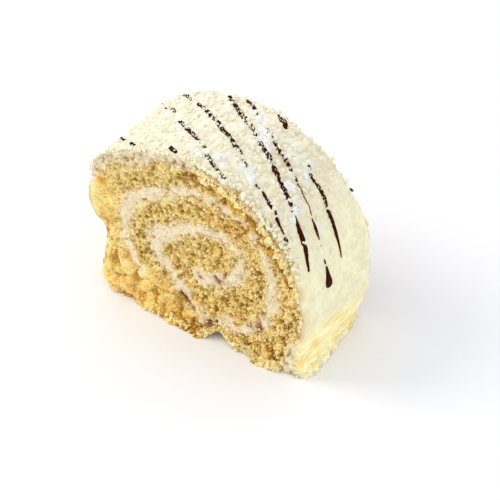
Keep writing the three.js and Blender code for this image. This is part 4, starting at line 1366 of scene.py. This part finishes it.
def make_coating_crumbs(settings):
    """Pale crumbs on the rough top, thickest along the front rim, and a fringe at the foot."""
    random = np.random.default_rng(COATING_CRUMBS.seed)
    wanted = settings.crumb_count
    tried = 12 * wanted
    distance = random.uniform(2, COAT_LENGTH - 0.2, tried)
    y = random.uniform(FRONT - 0.3, 18.0, tried)
    fringe = np.arange(tried) % 6 == 0
    distance = np.where(fringe, COAT_LENGTH - 2.5 * random.random(tried) ** 2, distance)
    rough, _, rim = coat_zones(distance, y)
    chance = np.where(fringe, 0.06, np.maximum(0.08 * rough, rim))
    kept = np.flatnonzero(random.random(tried) < chance)[:wanted]
    distance, y, fringe = distance[kept], y[kept], fringe[kept]
    count = len(y)
    sizes = mix(COATING_CRUMBS.smallest, COATING_CRUMBS.largest, random.random(count) ** 2)
    sizes = sizes * np.where(fringe, 0.8, 1.0)
    places = on_coat(distance, y, 0, settings.relief / MM)
    points, faces = scatter_crumbs(random, places, sizes)
    shade = np.where(fringe, 0.6, 0.0) + 0.4 * random.random(count) * (2.5 - 1.5 * fringe)
    material = crumb_material("loose coating crumb", settings.crumb_colour,
                              settings.top_colour)
    return make_piece("coating_crumbs", points, faces, material,
                      {"shade": np.repeat(shade, len(points) // len(shade))})


# ---- Stage ----

CAMERA_AZIMUTH = 37.0
CAMERA_ELEVATION = 38.5
CAMERA_TARGET = np.array([-10.4, 22.9, 0.0])
CAMERA_DISTANCE = 1248.0
CAMERA_LENS = 288.0
LAMP_TARGET = np.array([0.0, 0.0, 20.0])
LAMP_DISTANCE = 900.0
LAMP_SIZE = 420.0


def aim(thing, target, direction, distance):
    """Sets a lamp or a camera off from its target, in mm, and turns it to face the target."""
    away = np.array(direction, float)
    away /= np.linalg.norm(away)
    thing.location = (target + away * distance) * MM
    thing.rotation_mode = "QUATERNION"
    thing.rotation_quaternion = Vector(-away).to_track_quat("-Z", "Y")
    bpy.context.scene.collection.objects.link(thing)


def add_softbox(name, direction, power, tint):
    """A square soft light that shines on the slice from a direction."""
    light = bpy.data.lights.new(name, "AREA")
    light.shape = "SQUARE"
    light.size = LAMP_SIZE * MM
    light.energy = power
    light.color = linear(tint)[:3]
    aim(bpy.data.objects.new(name, light), LAMP_TARGET, direction, LAMP_DISTANCE)


def make_stage(settings):
    """A plain white floor, soft light from the upper left and the low right, the camera."""
    scene = bpy.context.scene
    scene.view_settings.view_transform = "Standard"
    reach = settings.floor_size / 2
    corners = [(-reach, -reach, 0), (reach, -reach, 0), (reach, reach, 0), (-reach, reach, 0)]
    mesh = bpy.data.meshes.new("floor")
    mesh.from_pydata(corners, [], [(0, 1, 2, 3)])
    floor = bpy.data.objects.new("floor", mesh)
    scene.collection.objects.link(floor)
    material, _, shader = new_material("white studio board", roughness=0.8)
    shader.inputs["Base Color"].default_value = settings.floor_colour
    mesh.materials.append(material)

    world = bpy.data.worlds.new("soft white room")
    world.use_nodes = True
    background = world.node_tree.nodes["Background"]
    background.inputs["Color"].default_value = linear("#fbfcff")
    background.inputs["Strength"].default_value = settings.fill_strength
    scene.world = world
    add_softbox("key softbox", (-0.75, -0.35, 0.75), settings.key_power, "#fffaf0")
    add_softbox("low warm softbox", (1.0, -0.15, 0.25), settings.low_power, "#fff0c8")

    camera_data = bpy.data.cameras.new("camera")
    camera_data.lens = CAMERA_LENS
    camera_data.sensor_width = 36.0
    camera_data.clip_start = 0.01
    camera_data.clip_end = 20.0
    camera = bpy.data.objects.new("camera", camera_data)
    azimuth, elevation = math.radians(CAMERA_AZIMUTH), math.radians(CAMERA_ELEVATION)
    direction = (math.sin(azimuth) * math.cos(elevation),
                 -math.cos(azimuth) * math.cos(elevation), math.sin(elevation))
    aim(camera, CAMERA_TARGET + SHIFT, direction, CAMERA_DISTANCE)
    scene.camera = camera


# ---- Add-on ----


def length(name, size_mm, description):
    """A length that a user may change, with its default in millimetres."""
    return FloatProperty(name=name, description=description, default=size_mm * MM, min=0.0,
                         unit="LENGTH", precision=5)


def colour(name, hex_colour, description):
    """A colour that a user may change, with its default as sRGB hex."""
    return FloatVectorProperty(name=name, description=description, size=4, min=0.0, max=1.0,
                               default=linear(hex_colour), subtype="COLOR")


def amount(name, default, description):
    """A count of loose crumbs that a user may change."""
    return IntProperty(name=name, description=description, default=default, min=10)


class SpongeSettings(bpy.types.PropertyGroup):
    """Sizes and colours of the sponge's crumb."""
    cell: length("Grid cell", 0.3, "Distance between points of the torn cuts")
    relief: length("Crumb relief", 0.8, "Height of the crumb from mean to crest")
    crumb_count: amount("Loose crumbs", 5000, "How many crumbs cling to the sponge")
    # The pore colours are painted shade, the low end of the crumb's and the flank's colour runs.
    pore_shade_colour: colour("Pores", "#a67c17", "Colour deep in the crumb")
    crumb_colour: colour("Crumb", "#ddc071", "Colour of the crumb")
    crest_colour: colour("Crests", "#feeeb3", "Colour of the crumb's crests")
    skin_colour: colour("Skin", "#efd181", "Colour of the smoother flank")
    skin_pore_shade_colour: colour("Skin pores", "#c9a04e", "Colour in the flank's hollows")


class CreamSettings(bpy.types.PropertyGroup):
    """Sizes and colour of the filling."""
    cell: length("Grid cell", 0.3, "Distance between points along the strip")
    width: length("Strip width", 3.4, "Width of the strip of filling on the cut")
    colour: colour("Filling", "#fdf1d8", "Colour of the smeared cream")
    shade_colour: colour("Filling hollows", "#e0cca0", "Colour in the filling's hollows")


class CoatingSettings(bpy.types.PropertyGroup):
    """Sizes and colours of the coating and of what lies on it."""
    cell: length("Grid cell", 0.33, "Distance between points of the coating's skin")
    relief: length("Relief", 0.5, "Height of the coating's lumps and strokes")
    rim_radius: length("Rim radius", 1.1, "Rounding of the coating's cut rims")
    drizzle_height: length("Drizzle height", 0.35, "Height of the chocolate")
    flake_height: length("Flake height", 0.8, "Height of the clumps of coconut")
    crumb_count: amount("Loose crumbs", 2000, "How many pale crumbs lie on the coating")
    top_colour: colour("Top", "#f1edda", "Colour of the rough top")
    # Creases, foot creases and rim hollows are painted shade, the low end of colour runs set by
    # the relief.
    crease_shade_colour: colour("Creases", "#d0c4a0", "Colour in the creases of the top")
    side_colour: colour("Side", "#f2edc9", "Colour of the smooth side")
    # The foot colour is partly the coating's yellow and partly painted warm light from below.
    foot_and_bounce_colour: colour("Foot", "#fff9ca", "Colour of the strokes at the base")
    foot_crease_shade_colour: colour("Foot creases", "#f1d98a", "Colour between those strokes")
    crumb_colour: colour("Crumbs", "#ece2b4", "Colour of the darker loose crumbs")
    rim_colour: colour("Rims", "#e6d09f", "Colour of the crumbly front rim")
    rim_pore_shade_colour: colour("Rim hollows", "#ae8748", "Colour in the hollows of the rim")
    chocolate_colour: colour("Chocolate", "#240600", "Colour of the drizzle")
    flake_colour: colour("Flakes", "#f7f8f4", "Colour of the coconut")


class StageSettings(bpy.types.PropertyGroup):
    """Floor and light."""
    floor_size: FloatProperty(
        name="Floor size", description="Side of the square floor",
        default=6.0, min=0.5, unit="LENGTH")
    floor_colour: colour("Floor", "#eff0f4", "Colour of the floor")
    fill_strength: FloatProperty(
        name="Fill strength", description="Brightness of the white room",
        default=1.0, min=0.0)
    key_power: FloatProperty(
        name="Key power", description="Power of the softbox at the upper left, in watts",
        default=3.0, min=0.0)
    low_power: FloatProperty(
        name="Low power", description="Power of the softbox low on the right, in watts",
        default=0.8, min=0.0)


class ROLL_OT_sponge(bpy.types.Operator):
    """Build the rolled sponge with its torn crumb"""
    bl_idname = "roll.sponge"
    bl_label = "Sponge"

    def execute(self, context):
        make_sponge(context.scene.roll_sponge, context.scene.roll_cream)
        return {"FINISHED"}


class ROLL_OT_cream(bpy.types.Operator):
    """Build the spiral strip of cream filling"""
    bl_idname = "roll.cream"
    bl_label = "Filling"

    def execute(self, context):
        make_cream(context.scene.roll_cream, context.scene.roll_sponge)
        return {"FINISHED"}


class ROLL_OT_coating(bpy.types.Operator):
    """Build the cream coating over the top and down the side"""
    bl_idname = "roll.coating"
    bl_label = "Coating"

    def execute(self, context):
        make_coating(context.scene.roll_coating)
        return {"FINISHED"}


class ROLL_OT_toppings(bpy.types.Operator):
    """Lay the chocolate drizzle and the coconut flakes on the coating"""
    bl_idname = "roll.toppings"
    bl_label = "Drizzle and Flakes"

    def execute(self, context):
        make_drizzle(context.scene.roll_coating)
        make_flakes(context.scene.roll_coating)
        return {"FINISHED"}


class ROLL_OT_crumbs(bpy.types.Operator):
    """Scatter the loose crumbs of sponge and coating"""
    bl_idname = "roll.crumbs"
    bl_label = "Loose Crumbs"

    def execute(self, context):
        make_sponge_crumbs(context.scene.roll_sponge, context.scene.roll_cream)
        make_coating_crumbs(context.scene.roll_coating)
        return {"FINISHED"}


class ROLL_OT_stage(bpy.types.Operator):
    """Set up the floor, the soft light and the camera"""
    bl_idname = "roll.stage"
    bl_label = "Stage"

    def execute(self, context):
        make_stage(context.scene.roll_stage)
        return {"FINISHED"}


OPERATORS = (ROLL_OT_stage, ROLL_OT_sponge, ROLL_OT_cream, ROLL_OT_coating, ROLL_OT_toppings,
             ROLL_OT_crumbs)
SETTINGS = {"roll_sponge": SpongeSettings, "roll_cream": CreamSettings,
            "roll_coating": CoatingSettings, "roll_stage": StageSettings}


class ROLL_PT_slice(bpy.types.Panel):
    """Lists the steps that build the slice, with their sizes and colours"""
    bl_idname = "ROLL_PT_slice"
    bl_label = "Swiss Roll Slice"
    bl_space_type = "VIEW_3D"
    bl_region_type = "UI"
    bl_category = "Swiss Roll"

    def draw(self, context):
        for operator in OPERATORS:
            self.layout.operator(operator.bl_idname)
        for key, group in SETTINGS.items():
            box = self.layout.box()
            for name in group.__annotations__:
                box.prop(getattr(context.scene, key), name)


def register():
    for group in SETTINGS.values():
        bpy.utils.register_class(group)
    for key, group in SETTINGS.items():
        setattr(bpy.types.Scene, key, PointerProperty(type=group))
    for operator in OPERATORS:
        bpy.utils.register_class(operator)
    bpy.utils.register_class(ROLL_PT_slice)


def unregister():
    bpy.utils.unregister_class(ROLL_PT_slice)
    for operator in reversed(OPERATORS):
        bpy.utils.unregister_class(operator)
    for key in SETTINGS:
        delattr(bpy.types.Scene, key)
    for group in reversed(SETTINGS.values()):
        bpy.utils.unregister_class(group)


def main():
    register()
    bpy.ops.roll.stage()
    bpy.ops.roll.sponge()
    bpy.ops.roll.cream()
    bpy.ops.roll.coating()
    bpy.ops.roll.toppings()
    bpy.ops.roll.crumbs()


if __name__ == "__main__":
    main()
